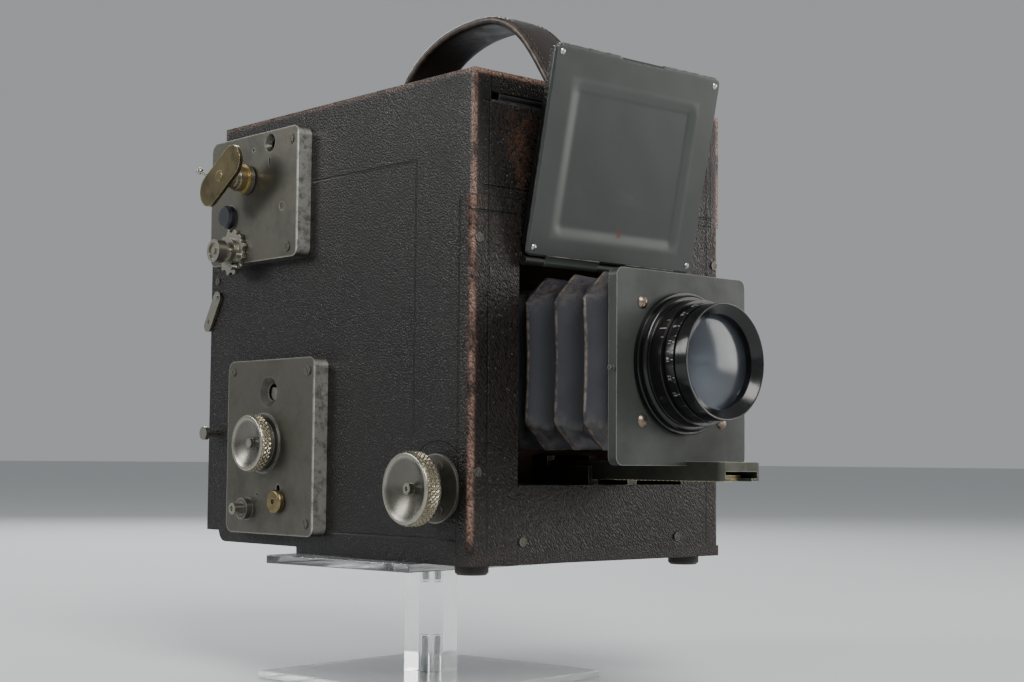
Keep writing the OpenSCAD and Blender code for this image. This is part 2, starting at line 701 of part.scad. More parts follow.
// Barrel profile, as radius and distance in front of the board
module lens_barrel() color("#101010") camera()
    front_at(board_y, [mid_x, axis_z]) rotate_extrude() difference() {
    union() {
        translate([0, -7]) square([seat_r, flange_t + 7]);
        translate([0, flange_t]) square([flange_r - 2.2, step_l]);
        translate([flange_r - 2.2, flange_t]) square([1.1, step_l - 1.1]);
        translate([flange_r - 2.2, flange_t + step_l - 1.1]) circle(1.1);
        translate([0, flange_t + step_l]) square([barrel_r, band_l]);
        translate([0, board_y - ring_y]) square([seat_r, ring_l + 2 * slip]);
        translate([0, board_y - rim_y]) square([rim_r, rim_l]);
    }
    translate([-1, -8]) square([barrel_bore_r + 1, 60]);
    translate([-1, board_y - rim_y - 3]) square([glass_r + 1, 20]);
    // Bevel from the rim down to the glass
    translate([0, board_y - rim_y + rim_l])
        polygon([[0, 1], [rim_r - 0.6, 1], [rim_r - 0.6, 0], [glass_r, -2.6], [0, -2.6]]);
}

module aperture_ring() color("#1c1c1c") camera() front_at(ring_y - slip, [mid_x, axis_z]) difference() {
    cylinder(r = ring_r, h = ring_l);
    translate([0, 0, -1]) cylinder(r = seat_r + shaft_gap, h = ring_l + 2);
    for (k = [0:8]) rotate([0, 0, 130 + 14 * k])
        translate([ring_r - 0.15, -0.2, ring_l - 1.6])
            cube([1, 0.4, 2]);
}

// Lens bounded by two spheres, thickness t at its edge
module glass(r, t, sag) intersection() {
    cylinder(r = r, h = t + sag);
    translate([0, 0, t + sag - (r * r + sag * sag) / (2 * sag)])
        sphere((r * r + sag * sag) / (2 * sag), $fn = 96);
}

module front_element() color("#8fa0a6", 0.5) camera()
    front_at(rim_y + 2.9, [mid_x, axis_z]) glass(glass_r, 3, 2.4);

bellows_w = 75;
bellows_h = 63.5;
bellows_z = 40.2;
pleats = 5;
bellows_l = frame_y - board_y - board_d;
pleat_in = 5;
module bellows() color("#23262c") camera() {
    pitch = bellows_l / pleats;
    difference() {
        for (k = [0:pleats - 1]) {
            front_at(frame_y - k * pitch, [mid_x - bellows_w / 2, bellows_z]) linear_extrude(pitch / 2)
                round_rect(bellows_w, bellows_h, 6);
            front_at(frame_y - (k + 0.5) * pitch, [mid_x - bellows_w / 2 + pleat_in, bellows_z + 2])
                linear_extrude(pitch / 2)
                round_rect(bellows_w - 2 * pleat_in, bellows_h - 4, 4);
        }
        front_at(frame_y + 1, [mid_x - bellows_w / 2 + 8, bellows_z + 5])
            linear_extrude(bellows_l + 2) square([bellows_w - 16, bellows_h - 10]);
    }
}

guide_wall = 2;
module bellows_frame() color("#3a2a1e") camera() difference() {
    translate([wall_t, frame_y, floor_top]) cube([inner_w, bellows_frame_t, mirror_z + 3 - floor_top]);
    front_at(frame_y + 10, [mid_x - bellows_w / 2 + 8, bellows_z + 5])
        linear_extrude(20) square([bellows_w - 16, bellows_h - 10]);
    translate([track_x - guide_wall - 2 * slip, frame_y - 1, floor_top - 1])
        cube([track_w + 2 * guide_wall + 4 * slip, 10, track_z + track_h + 3.1 - floor_top]);
}

// ---- Focusing track ----
module focus_track() color("#5a5a48") camera() difference() {
    translate([track_x, track_y, track_z]) {
        linear_extrude(track_h) {
            translate([2, 0]) square([track_w - 4, 3]);
            translate([0, 2]) square([track_w, track_l - 2]);
            for (x = [2, track_w - 2]) translate([x, 2]) circle(2);
        }
    }
    translate([track_x + 2.3, track_y - 1, track_z + 1]) cube([track_w - 4.4, track_l + 2, 2.4]);
    translate([rack_x, track_y - 1, track_z - 1]) cube([rack_w, track_l + 2, 3]);
}

rack_start = 5;          // how far the rack starts behind the end of the track
module focus_rack() color("#8a7a50") camera() {
    pitch = PI * pinion_m;
    l = track_l - rack_start;
    first = track_y + rack_start;
    half = pitch / 4 - 0.1;
    lean = tan(20);
    tip = rack_pitch_z - 0.45 * pinion_m;
    root = rack_pitch_z + tooth_root * pinion_m;
    k0 = ceil((first - pinion_y) / pitch) + 0.5;
    count = floor(l / pitch) - 1;
    side_at(rack_x) linear_extrude(rack_w) polygon(concat(
        [[first, track_z + 2.1], [first, root]],
        [for (k = [0:count - 1]) let (y = pinion_y + (k0 + k) * pitch) each [
            [y - half - (root - rack_pitch_z) * lean, root], [y - half + 0.45 * pinion_m * lean, tip],
            [y + half - 0.45 * pinion_m * lean, tip], [y + half + (root - rack_pitch_z) * lean, root]
        ]],
        [[first + l, root], [first + l, track_z + 2.1]]
    ));
}

guide_y = 7.5;
guide_l = 52;
lips_y = 30;
module track_guide() color("#6a6a5a") camera() difference() {
    union() {
        for (x = [track_x - guide_wall - slip, track_x + track_w + slip])
            translate([x, guide_y, floor_top]) cube([guide_wall, guide_l, board_z - 0.4 - floor_top]);
        translate([track_x - guide_wall - slip, guide_y, floor_top])
            cube([track_w + 2 * guide_wall + 2 * slip, guide_l, 2]);
        // Ledges under the track
        translate([track_x - slip - 0.1, guide_y, track_z - 2.2]) cube([3, guide_l, 2.2 - slip]);
        translate([track_x + track_w + slip - 2.9, guide_y, track_z - 2.2]) cube([3, guide_l, 2.2 - slip]);
        // Side walls and lips over the track, behind the place that the lens board reaches
        for (x = [track_x - guide_wall - slip, track_x + track_w + slip])
            translate([x, lips_y, floor_top])
                cube([guide_wall, guide_l + guide_y - lips_y, track_z + track_h + 1.8 - floor_top]);
        for (x = [track_x - slip - 0.1, track_x + track_w - 1.4])
            translate([x, lips_y, track_z + track_h + slip]) cube([1.8, guide_l + guide_y - lips_y, 1.5]);
    }
    side_at(0, [pinion_y, pinion_z]) cylinder(r = pinion_shaft_r + shaft_gap, h = case_w);
}

// Dished knob with a straight rim, from its back face at z = 0 towards +z
module dished_knob(r, rim, dish) rotate_extrude() difference() {
    union() {
        square([r - 0.5, rim]);
        translate([0, 0.5]) square([r, rim - 1]);
        for (z = [0.5, rim - 0.5]) translate([r - 0.5, z]) circle(0.5);
    }
    inner = r - 1.2;
    big = (inner * inner + dish * dish) / (2 * dish);
    difference() {
        translate([0, rim - dish + big]) circle(big, $fn = 96);
        translate([-big, rim - dish - 1]) square([big + 2, dish]);
    }
    translate([-50, -1]) square([50, 60]);
}

focus_knob_x = -15;
module focus_knob() color("#9a988e") camera() side_at(focus_knob_x, [pinion_y, pinion_z]) {
    translate([0, 0, focus_rim_l]) mirror([0, 0, 1]) difference() {
        dished_knob(focus_knob_r, focus_rim_l, 3.2);
        translate([0, 0, -1]) cylinder(r = pinion_shaft_r, h = focus_rim_l - 2);
        translate([0, 0, focus_rim_l - 2]) cylinder(r = 0.9, h = 5);
    }
    translate([0, 0, focus_rim_l]) difference() {
        cylinder(r = 4, h = -focus_knob_x - focus_rim_l - 1.5);
        translate([0, 0, -1]) cylinder(r = pinion_shaft_r, h = 10);
    }
}

module pinion_shaft() color("#8f8a7e") camera() {
    side_at(focus_knob_x + 3.8, [pinion_y, pinion_z])
        cylinder(r = pinion_shaft_r, h = track_x + track_w + guide_wall + 1 - focus_knob_x - 3.8);
    side_at(rack_x + 0.5, [pinion_y, pinion_z]) gear(pinion_teeth, pinion_m, 90, rack_w - 1, 0.1);
}

module knob_escutcheon() color("#6f6c62") camera() side_at(-1.2, [pinion_y, pinion_z]) difference() {
    washer(12.3, 1.2, pinion_shaft_r + shaft_gap);
    for (z = [-7.8, 7.8]) translate([-2.9, z, -1]) cylinder(r = screw_shank_r + touch, h = 4);
}

// ---- Mirror and shutter ----
module mirror_box() color("#26221f") camera()
    for (x = [mirror_box_x, case_w - mirror_box_x - mirror_box_t]) difference() {
    translate([x, frame_y + bellows_frame_t, floor_top])
        cube([mirror_box_t, mirror_y + 3.5 - frame_y - bellows_frame_t, mirror_z + 4 - floor_top]);
    translate([x - 1, lower_roller_at[0] - 11, 0]) cube([5, 30, lower_roller_at[1] + 11]);
    side_at(x - 1, [mirror_y, mirror_z]) cylinder(r = mirror_pivot_r + shaft_gap, h = 5);
}

// Mirror frame: drawn raised, origin on the pivot, y pointing back
module mirror_place() camera() translate([mid_x, mirror_y, mirror_z]) rotate([45, 0, 0]) children();
module mirror_frame() color("#3b3b38") mirror_place() {
    side_at(mirror_box_x - mid_x) cylinder(r = mirror_pivot_r, h = case_w - 2 * mirror_box_x);
    translate([-mirror_w / 2 - 1, -mirror_l, -3.5]) cube([mirror_w + 2, mirror_l - 3, mirror_frame_t]);
    for (x = [-mirror_w / 2 - 1, mirror_w / 2 - 7]) translate([x, -6, -3.5]) cube([8, 6.5, 3.5]);
    translate([-mirror_w / 2 - 1, -mirror_l, -3.5]) cube([mirror_w + 2, 1, mirror_frame_t + mirror_t]);
}
module mirror_glass() color("#c8d0d4") mirror_place()
    translate([-mirror_w / 2, -mirror_l + 1, -3.5 + mirror_frame_t])
        cube([mirror_w, mirror_l - 8, mirror_t]);

// Curtain from the upper roller, over a round bend and down past the gate
bend_r = 5;
function bend_points(at, r, steps) = [for (a = steps) at + r * [cos(a), sin(a)]];
module shutter_curtain() color("#1d1d20") camera()
    side_at(mirror_box_x + 2.5) linear_extrude(case_w - 2 * mirror_box_x - 5) {
    top = key_at[1] + roller_r + slip;
    bend_at = [curtain_y - bend_r, top - bend_r];
    polygon(concat(
        [[key_at[0], top], [key_at[0], top + curtain_t]],
        bend_points(bend_at, bend_r + curtain_t, [90:-15:0]),
        [[curtain_y + curtain_t, lower_roller_at[1]], [curtain_y, lower_roller_at[1]]],
        bend_points(bend_at, bend_r, [0:15:90])
    ));
}

module upper_roller() color("#8b7b58") camera() {
    side_at(-cover_t - 0.5, key_at) cylinder(r = shaft_r, h = case_w + cover_t + 0.5 - wall_t + 4);
    side_at(mirror_box_x + 2.5, key_at) cylinder(r = roller_r, h = case_w - 2 * mirror_box_x - 5);
    side_at(-1.6, key_at) gear(key_teeth, 1, 180, 1.3, 0.15);
}

// Stepped hub, shaft and oval wing of the key
module winding_key() color("#a08e5e") camera() side_at(-cover_t - 0.5, key_at) mirror([0, 0, 1]) {
    difference() {
        union() {
            cylinder(r = 6.1, h = 2.2);
            cylinder(r = 5.2, h = 5.4);
            cylinder(r = 4.5, h = 7);
            cylinder(r = 4, h = 8.4);
            cylinder(r = 2.1, h = 13.5);
        }
        translate([0, 0, 7.6]) washer(8, 0.4, 3.6);
    }
    rotate([0, 0, -32]) translate([(wing_w - wing_l) / 2, 0, 11.3])
        linear_extrude(1.7) round_bar(wing_l - wing_w, wing_w / 2);
}

module curtain_dial() color("#b6b3a6") camera() {
    side_at(-2.7, curtain_dial_at) difference() {
        cylinder(r = curtain_dial_r, h = 0.8);
        for (k = [0:7]) rotate([0, 0, 45 * k])
            translate([curtain_dial_r - 2.3, 0, -0.3]) cylinder(r = 0.8, h = 0.6);
    }
    side_at(-4.6, curtain_dial_at) cylinder(r = 1.2, h = 9);
    side_at(-2.1, curtain_dial_at) cylinder(r = 6, h = 1);
    side_at(-1.5, curtain_dial_at) gear(dial_teeth, 1, 180 / dial_teeth, 1.1, 0.15);
}

module lower_roller() color("#8b7b58") camera() {
    side_at(8.8, lower_roller_at) cylinder(r = shaft_r, h = case_w - wall_t + 4 - 8.8);
    side_at(mirror_box_x + 2.5, lower_roller_at) cylinder(r = roller_r, h = case_w - 2 * mirror_box_x - 5);
    side_at(9.3, lower_roller_at) gear(roller_teeth, 1, roller_angle + 180 + 180 / roller_teeth, 2.4, 0.15);
}

tension_knob_x = -cover_t - 8;
module tension_knob() color("#a29f93") camera() {
    side_at(tension_knob_x, tension_at) {
        translate([0, 0, 5]) mirror([0, 0, 1]) difference() {
            dished_knob(tension_knob_r, 5, 2.4);
            translate([3, 0, 3.1]) cylinder(r = 0.8, h = 1);
        }
        translate([0, 0, 4.5]) cylinder(r = shaft_r, h = -tension_knob_x + 9);
    }
    side_at(9, tension_at) gear(tension_teeth, 1, roller_angle, 3, 0.15);
}

module tension_dial() color("#b6b3a6") camera() side_at(-2.7, tension_at) difference() {
    washer(tension_dial_r, 0.8, shaft_r);
    for (k = [0:5]) rotate([0, 0, 60 * k + 10])
        translate([tension_dial_r - 2.3, 0, -0.3]) cylinder(r = 0.9, h = 0.6);
}

// Shallow cover, open towards the case, drawn with its outer face at z = 0
module cover_pan(w, h) difference() {
    linear_extrude(cover_t) round_rect(w, h, cover_r);
    translate([cover_sheet, cover_sheet, cover_sheet])
        linear_extrude(cover_t) round_rect(w - 2 * cover_sheet, h - 2 * cover_sheet, cover_r - cover_sheet);
}

// Dished window: a funnel of outer radius a and inner radius b at a place on the cover
module window_body(a, b) translate([0, 0, 0.2]) cylinder(r1 = a + 0.8, r2 = b + 0.8, h = 2.6);
module window_cut(a, b) {
    translate([0, 0, -0.01]) cylinder(r1 = a, r2 = b, h = 2.4);
    translate([0, 0, -1]) cylinder(r = b, h = 6);
}

module cover_screw_holes() for (s = side_screws) side_at(-cover_t - 1, [s[0][1], s[0][2]])
    cylinder(r = screw_shank_r + touch, h = cover_t);

module upper_cover() color("#6b6a5f") camera() difference() {
    union() {
        side_at(-cover_t, [upper_y, upper_z]) cover_pan(upper_w, upper_h);
        side_at(-cover_t, upper_window_at) window_body(3.7, 2.2);
    }
    side_at(-cover_t, upper_window_at) window_cut(3.7, 2.2);
    side_at(-cover_t - 1) linear_extrude(3)
        translate(upper_window_at + [-0.6, -9.4]) round_rect(1.2, 3.4, 0.55);
    side_at(-cover_t - 1, key_at) cylinder(r = shaft_r + shaft_gap, h = 8);
    side_at(-cover_t - 1, dark_at) cylinder(r = 4.85, h = 8);
    side_at(-cover_t - 1, setting_at) cylinder(r = 1.5 + shaft_gap, h = 8);
    side_at(-cover_t - 1, lever_at) cylinder(r = 1.2 + shaft_gap, h = 8);
    side_at(-cover_t - 0.5, upper_window_at + [11.7, -1.7]) cylinder(r = 0.8, h = 1);
    side_at(-cover_t - 0.5, curtain_dial_at + [-6.8, -13.4]) cylinder(r = 1.7, h = 0.9);
    cover_screw_holes();
}

module lower_cover() color("#6b6a5f") camera() difference() {
    union() {
        side_at(-cover_t, [lower_y, lower_z]) cover_pan(lower_w, lower_h);
        side_at(-cover_t, lower_window_at) window_body(6.1, 3.3);
        side_at(-cover_t - 1, tension_at) cylinder(r = 11.8, h = 1.5);
        side_at(-cover_t - 2.2, tension_at) cylinder(r = 9.3, h = 2.5);
        side_at(-cover_t - 3, stud_at) cylinder(r = 4.2, h = 3.5);
    }
    side_at(-cover_t, lower_window_at) window_cut(6.1, 3.3);
    side_at(-cover_t - 4, tension_at) cylinder(r = shaft_r + shaft_gap, h = 10);
    side_at(-cover_t - 4, stud_at) cylinder(r = 2.25 + shaft_gap, h = 10);
    side_at(-cover_t - 1) linear_extrude(3) translate(button_at + [-1.3, -1.4]) round_rect(2.6, 8, 1.25);
    side_at(-cover_t - 0.5, lower_window_at + [1, -9.7]) cylinder(r = 0.8, h = 1);
    side_at(-cover_t - 0.5, tension_at + [3.9, -20.2]) cylinder(r = 0.7, h = 1);
    cover_screw_holes();
}

module brass_button() color("#b09a5c") camera() side_at(-cover_t, button_at) mirror([0, 0, 1]) {
    rotate_extrude() difference() {
        union() {
            translate([0, 0.3]) square([4.6, 1.2]);
            translate([0, 1.5]) square([3.6, 1]);
            translate([3.6, 1.5]) circle(1);
        }
        translate([-10, -10]) square([10, 30]);
        translate([-1, 1.5]) square([2.2, 5]);
    }
    translate([0, 0, -cover_sheet - 0.4]) cylinder(r = 1.1, h = cover_sheet + 0.9);
    translate([0, 0, -cover_sheet - 1]) cylinder(r = 2.8, h = 0.7);
}

module stud_button() color("#b8b3a4") camera() side_at(-13.2, stud_at) {
    difference() {
        cylinder(r = 2.25, h = 12);
        translate([0, 0, -1]) cylinder(r = 1.1, h = 1.6);
    }
}

module dark_button() color("#33322f") camera() side_at(-9, dark_at) {
    cylinder(r1 = 3.9, r2 = 4.75, h = 1);
    translate([0, 0, 1]) cylinder(r = 4.75, h = 3.6);
    translate([0, 0, 4.6]) cylinder(r = 1.8, h = 4);
}

module release_lever() color("#a8a698") camera() {
    tip = [-10, lever_at[0] + 8.4, lever_at[1] + 4.8];
    side_at(-cover_t - 2.4, lever_at) cylinder(r = 2.4, h = 2.2);
    side_at(-cover_t - 0.5, lever_at) cylinder(r = 1.2, h = cover_t + 4);
    rod([-cover_t - 1.3, lever_at[0], lever_at[1]], tip, 0.7);
    translate(tip) sphere(1.5);
}

module setting_knob() color("#98958a") camera() side_at(-cover_t - 0.2, setting_at) mirror([0, 0, 1]) {
    // Notched wheel, ring, neck and end knob
    difference() {
        cylinder(r = 9.4, h = 1.6);
        for (k = [0:11]) rotate([0, 0, 30 * k]) translate([10, 0, -1]) cylinder(r = 1.9, h = 4);
    }
    cylinder(r = 5.8, h = 3.6);
    cylinder(r = 3, h = 6.5);
    translate([0, 0, 5.8]) difference() {
        cylinder(r = 4.65, h = 4.3);
        translate([0, 0, 3.5]) washer(3.4, 2, 1.3);
    }
    translate([0, 0, -cover_t - 4]) cylinder(r = 1.5, h = cover_t + 5);
    for (p = [[-7, -1.8], [-3.4, -6.4]]) translate([p[0], p[1], 1]) cylinder(r = 1.2, h = 3);
}

// ---- Display stand ----
module stand_base() color("#dfe6e8", 0.5) stand() difference() {
    translate([0, 0, stand_base_t / 2]) cube([stand_side, stand_side, stand_base_t], center = true);
    translate([0, 0, -1]) cylinder(r = 2.4 + touch, h = 10);
    translate([0, 0, -0.01]) cylinder(r1 = 4.6, r2 = 2.4, h = 2.2);
}

module stand_post() color("#dfe6e8", 0.5) stand() difference() {
    translate([-post_side / 2, -post_side / 2, stand_base_t]) cube([post_side, post_side, post_l]);
    translate([0, 0, stand_base_t - 1]) cylinder(r = 2.4 + touch, h = 15);
    translate([0, 0, stand_base_t + post_l - 7.5]) cylinder(r = 2.4 + touch, h = 10);
}

// Distance of the camera screw from the post, in the stand's turned frame
module top_plate_cuts() {
    translate([0, 0, stand_base_t + post_l - 1]) cylinder(r = 2.4 + touch, h = 10);
    translate([0, 0, stand_h - 2.2]) cylinder(r1 = 2.4, r2 = 4.6, h = 2.21);
}
module stand_top_plate() color("#dfe6e8", 0.5) difference() {
    stand() translate([-plate_w / 2, -plate_d / 2, stand_base_t + post_l])
        cube([plate_w, plate_d, plate_t]);
    top_plate_cuts();
    translate([camera_screw_at[0] - post_x, camera_screw_at[1] - post_y, 0]) {
        translate([0, 0, stand_base_t + post_l - 1]) cylinder(r = camera_screw_r + touch, h = 10);
        translate([0, 0, stand_base_t + post_l - 0.01]) cylinder(r1 = 6, r2 = camera_screw_r, h = 2.6);
    }
}

module stand_screws() color("#aeb4b6") {
    translate([0, 0, 0.05]) {
        cylinder(r1 = 4.5, r2 = 2.4, h = 2.1);
        cylinder(r = 2.4, h = stand_base_t + 13);
    }
    translate([0, 0, stand_h - 2.2]) cylinder(r1 = 2.35, r2 = 4.4, h = 2.1);
    translate([0, 0, stand_h - plate_t - 6.5]) cylinder(r = 2.4, h = plate_t + 6);
    translate([camera_screw_at[0] - post_x, camera_screw_at[1] - post_y, stand_base_t + post_l]) {
        translate([0, 0, 0.05]) cylinder(r1 = 5.9, r2 = camera_screw_r, h = 2.5);
        cylinder(r = camera_screw_r, h = plate_t + 8);
    }
}

base_panel();
floor_board();
side_wall_left();
side_wall_right();
front_frame();
front_upper_panel();
top_rear_panel();
back_frame();
plate_holder();
dark_slide();
back_latch();
pull_pin();
feet();
tripod_bush();
case_screws();
case_hinges();
hood_lid();
carrying_strap();
strap_brackets();
focusing_hood();
ground_glass_frame();
ground_glass();
front_door();
door_leather();
door_rivets();
lens_board();
lens_board_screws();
lens_flange();
lens_barrel();
aperture_ring();
front_element();
bellows();
bellows_frame();
focus_track();
focus_rack();
track_guide();
focus_knob();
pinion_shaft();
knob_escutcheon();
mirror_box();
mirror_frame();
mirror_glass();
shutter_curtain();
upper_roller();
winding_key();
curtain_dial();
lower_roller();
tension_knob();
tension_dial();
upper_cover();
lower_cover();
brass_button();
stud_button();
dark_button();
release_lever();
setting_knob();
stand_base();
stand_post();
stand_top_plate();
stand_screws();
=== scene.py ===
"""Looks of the box reflex camera on its clear stand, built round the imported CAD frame."""
import math

import bmesh
import bpy
from mathutils import Matrix, Vector, noise


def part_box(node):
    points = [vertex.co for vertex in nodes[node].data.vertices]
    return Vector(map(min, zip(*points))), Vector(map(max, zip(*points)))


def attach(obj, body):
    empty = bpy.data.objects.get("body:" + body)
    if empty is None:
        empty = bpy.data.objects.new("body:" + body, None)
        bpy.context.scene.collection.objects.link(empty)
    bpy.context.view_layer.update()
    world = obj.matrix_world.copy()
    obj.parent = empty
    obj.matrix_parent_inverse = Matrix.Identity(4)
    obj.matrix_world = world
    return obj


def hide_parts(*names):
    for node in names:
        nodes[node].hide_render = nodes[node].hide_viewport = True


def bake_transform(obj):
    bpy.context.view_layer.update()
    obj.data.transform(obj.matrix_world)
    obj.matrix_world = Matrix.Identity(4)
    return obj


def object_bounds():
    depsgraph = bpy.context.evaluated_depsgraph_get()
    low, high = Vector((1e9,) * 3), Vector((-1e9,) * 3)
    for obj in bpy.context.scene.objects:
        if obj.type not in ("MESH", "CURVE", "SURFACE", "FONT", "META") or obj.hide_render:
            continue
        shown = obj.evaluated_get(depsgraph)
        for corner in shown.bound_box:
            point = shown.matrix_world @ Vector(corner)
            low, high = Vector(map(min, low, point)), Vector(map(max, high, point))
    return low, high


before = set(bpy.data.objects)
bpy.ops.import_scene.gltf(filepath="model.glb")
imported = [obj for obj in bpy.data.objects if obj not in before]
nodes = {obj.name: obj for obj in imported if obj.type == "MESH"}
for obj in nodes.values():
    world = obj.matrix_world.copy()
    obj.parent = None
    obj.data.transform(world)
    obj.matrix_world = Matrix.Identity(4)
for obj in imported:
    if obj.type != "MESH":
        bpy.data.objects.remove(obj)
cad_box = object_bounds()
mm = 0.001

# ---------------------------------------------------------------- camera and light
camera_data = bpy.data.cameras.new("photo_camera")
camera_data.sensor_width = 36
camera_data.lens = 59.16
camera_data.clip_start = 0.05
camera = bpy.data.objects.new("photo_camera", camera_data)
bpy.context.scene.collection.objects.link(camera)
bpy.context.scene.camera = camera
yaw, pitch, roll = 0.72963, 0.070283, 0.008132
look = Vector((math.sin(yaw) * math.cos(pitch), math.cos(yaw) * math.cos(pitch), math.sin(pitch)))
right = Vector((math.cos(yaw), -math.sin(yaw), 0))
up = right.cross(look)
turned_right = right * math.cos(roll) + up * math.sin(roll)
turned_up = up * math.cos(roll) - right * math.sin(roll)
camera.matrix_world = Matrix.Translation((-0.41941, -0.51511, 0.08516)) @ Matrix(
    (turned_right, turned_up, -look)).transposed().to_4x4()


def area_light(name, at, target, size, power, colour=(1, 1, 1), size_y=None):
    data = bpy.data.lights.new(name, "AREA")
    data.energy = power
    data.color = colour
    data.size = size
    if size_y:
        data.shape = "RECTANGLE"
        data.size_y = size_y
    lamp = bpy.data.objects.new(name, data)
    bpy.context.scene.collection.objects.link(lamp)
    lamp.location = at
    lamp.rotation_euler = (Vector(target) - Vector(at)).to_track_quat("-Z", "Y").to_euler()


area_light("key", (-0.35, -1.15, 1.15), (0.0, 0.0, 0.12), 0.75, 22, (1.0, 0.98, 0.95))
area_light("side", (-1.25, 0.95, 0.85), (-0.04, 0.02, 0.16), 0.6, 12, (1.0, 0.985, 0.96), 0.7)
area_light("fill", (1.15, -0.75, 0.45), (0.02, -0.05, 0.12), 0.7, 7, (1.0, 0.97, 0.93))
area_light("back", (0.6, 1.2, 0.9), (0.0, 0.05, 0.15), 0.8, 12, (0.95, 0.98, 1.0))

world = bpy.data.worlds.new("studio")
bpy.context.scene.world = world
world.use_nodes = True
world.node_tree.nodes["Background"].inputs[0].default_value = (0.80, 0.83, 0.85, 1)
world.node_tree.nodes["Background"].inputs[1].default_value = 0.42


# ---------------------------------------------------------------- places in the frame
case_low, case_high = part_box("side_wall_left")[0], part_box("side_wall_right")[1]
case_edges = Vector(case_low), Vector(case_high)
# Places in the camera's own millimetres, as in the CAD part
middle_x = 64.5
lid_top = 175.0
tension_y, tension_z = 119.8, 42.8
door_hinge = (middle_x, -2, 108.2)
door_lean = math.radians(12)
lens_z = 71.5


def at(x, y, z):
    """Point of the camera's own frame, in millimetres, as a point of the row frame in metres."""
    return Vector((case_low[0] + x * mm, case_low[1] + y * mm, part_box("base_panel")[0][2] + z * mm))


def y_of(v):
    return at(0, v, 0)[1]


def z_of(v):
    return at(0, 0, v)[2]


# ---------------------------------------------------------------- material tools
class Nodes:
    """Short ways to add and join shader nodes."""

    def __init__(self, name):
        self.material = bpy.data.materials.new(name)
        self.material.use_nodes = True
        self.tree = self.material.node_tree
        self.shader = self.tree.nodes["Principled BSDF"]

    def add(self, kind, inputs=None, **settings):
        node = self.tree.nodes.new(kind)
        for key, value in settings.items():
            setattr(node, key, value)
        for key, value in (inputs or {}).items():
            self.put(node.inputs[key], value)
        return node

    def put(self, socket, value):
        if isinstance(value, bpy.types.NodeSocket):
            self.tree.links.new(value, socket)
        else:
            socket.default_value = value

    def math(self, operation, a, b=0.0):
        node = self.add("ShaderNodeMath", operation=operation)
        self.put(node.inputs[0], a)
        self.put(node.inputs[1], b)
        return node.outputs[0]

    def plus(self, a, b):
        return self.math("ADD", a, b)

    def minus(self, a, b):
        return self.math("SUBTRACT", a, b)

    def times(self, a, b):
        return self.math("MULTIPLY", a, b)

    def larger(self, a, b):
        return self.math("MAXIMUM", a, b)

    def smaller(self, a, b):
        return self.math("MINIMUM", a, b)

    def above(self, a, b):
        return self.math("GREATER_THAN", a, b)

    def below(self, a, b):
        return self.math("LESS_THAN", a, b)

    def size(self, a):
        return self.math("ABSOLUTE", a)

    def length(self, a, b):
        return self.math("SQRT", self.plus(self.times(a, a), self.times(b, b)))

    def ramp(self, value, low, high, out_low=0.0, out_high=1.0):
        node = self.add("ShaderNodeMapRange", {"Value": value, "From Min": low, "From Max": high,
                                               "To Min": out_low, "To Max": out_high},
                        clamp=True, interpolation_type="SMOOTHSTEP")
        return node.outputs["Result"]

    def mix(self, factor, a, b):
        node = self.add("ShaderNodeMix", data_type="RGBA")
        self.put(node.inputs["Factor"], factor)
        self.put(node.inputs[6], a)
        self.put(node.inputs[7], b)
        return node.outputs[2]

    def place(self):
        return self.add("ShaderNodeTexCoord").outputs["Object"]

    def split(self, vector):
        return self.add("ShaderNodeSeparateXYZ", {0: vector}).outputs

    def noise(self, scale, detail=3.0, rough=0.55, stretch=None):
        where = self.place()
        if stretch:
            where = self.add("ShaderNodeMapping", {"Vector": where, "Scale": stretch}).outputs[0]
        return self.add("ShaderNodeTexNoise", {"Vector": where, "Scale": scale, "Detail": detail,
                                               "Roughness": rough}).outputs["Fac"]

    def cells(self, scale, where=None, feature="F1"):
        return self.add("ShaderNodeTexVoronoi", {"Vector": where or self.place(), "Scale": scale},
                        feature=feature).outputs["Distance"]

    def bump(self, height, distance, strength=1.0, after=None):
        node = self.add("ShaderNodeBump", {"Height": height, "Distance": distance, "Strength": strength})
        if after is not None:
            self.put(node.inputs["Normal"], after)
        return node.outputs[0]

    def edge(self, radius, soft=0.35):
        """1 on rounded or sharp edges, 0 on flat faces."""
        near = self.add("ShaderNodeBevel", {"Radius": radius}, samples=6).outputs[0]
        true = self.add("ShaderNodeNewGeometry").outputs["True Normal"]
        dot = self.add("ShaderNodeVectorMath", {0: near, 1: true}, operation="DOT_PRODUCT").outputs["Value"]
        return self.ramp(dot, 1.0 - soft, 0.995, 1.0, 0.0)

    def box_edge(self, low, high):
        """Distance to the nearest edge of a box, for a point on its surface."""
        p = self.split(self.place())
        near = [self.smaller(self.size(self.minus(p[i], low[i])), self.size(self.minus(p[i], high[i])))
                for i in range(3)]
        a = self.smaller(near[0], near[1])
        b = self.larger(near[0], near[1])
        return self.larger(a, self.smaller(b, near[2]))

    def finish(self, colour, roughness, normal=None, metallic=0.0, **shader):
        self.put(self.shader.inputs["Base Color"], colour)
        self.put(self.shader.inputs["Roughness"], roughness)
        self.shader.inputs["Metallic"].default_value = metallic
        if normal is not None:
            self.put(self.shader.inputs["Normal"], normal)
        for key, value in shader.items():
            self.shader.inputs[key.replace("_", " ")].default_value = value
        return self.material

    def vector(self, operation, a, b):
        return self.add("ShaderNodeVectorMath", {0: a, 1: b}, operation=operation).outputs[0]

    def turned(self, vector, angle, axis):
        return self.add("ShaderNodeVectorRotate", {"Vector": vector, "Angle": angle},
                        rotation_type=axis).outputs[0]


def rgb(r, g, b):
    return (r, g, b, 1.0)


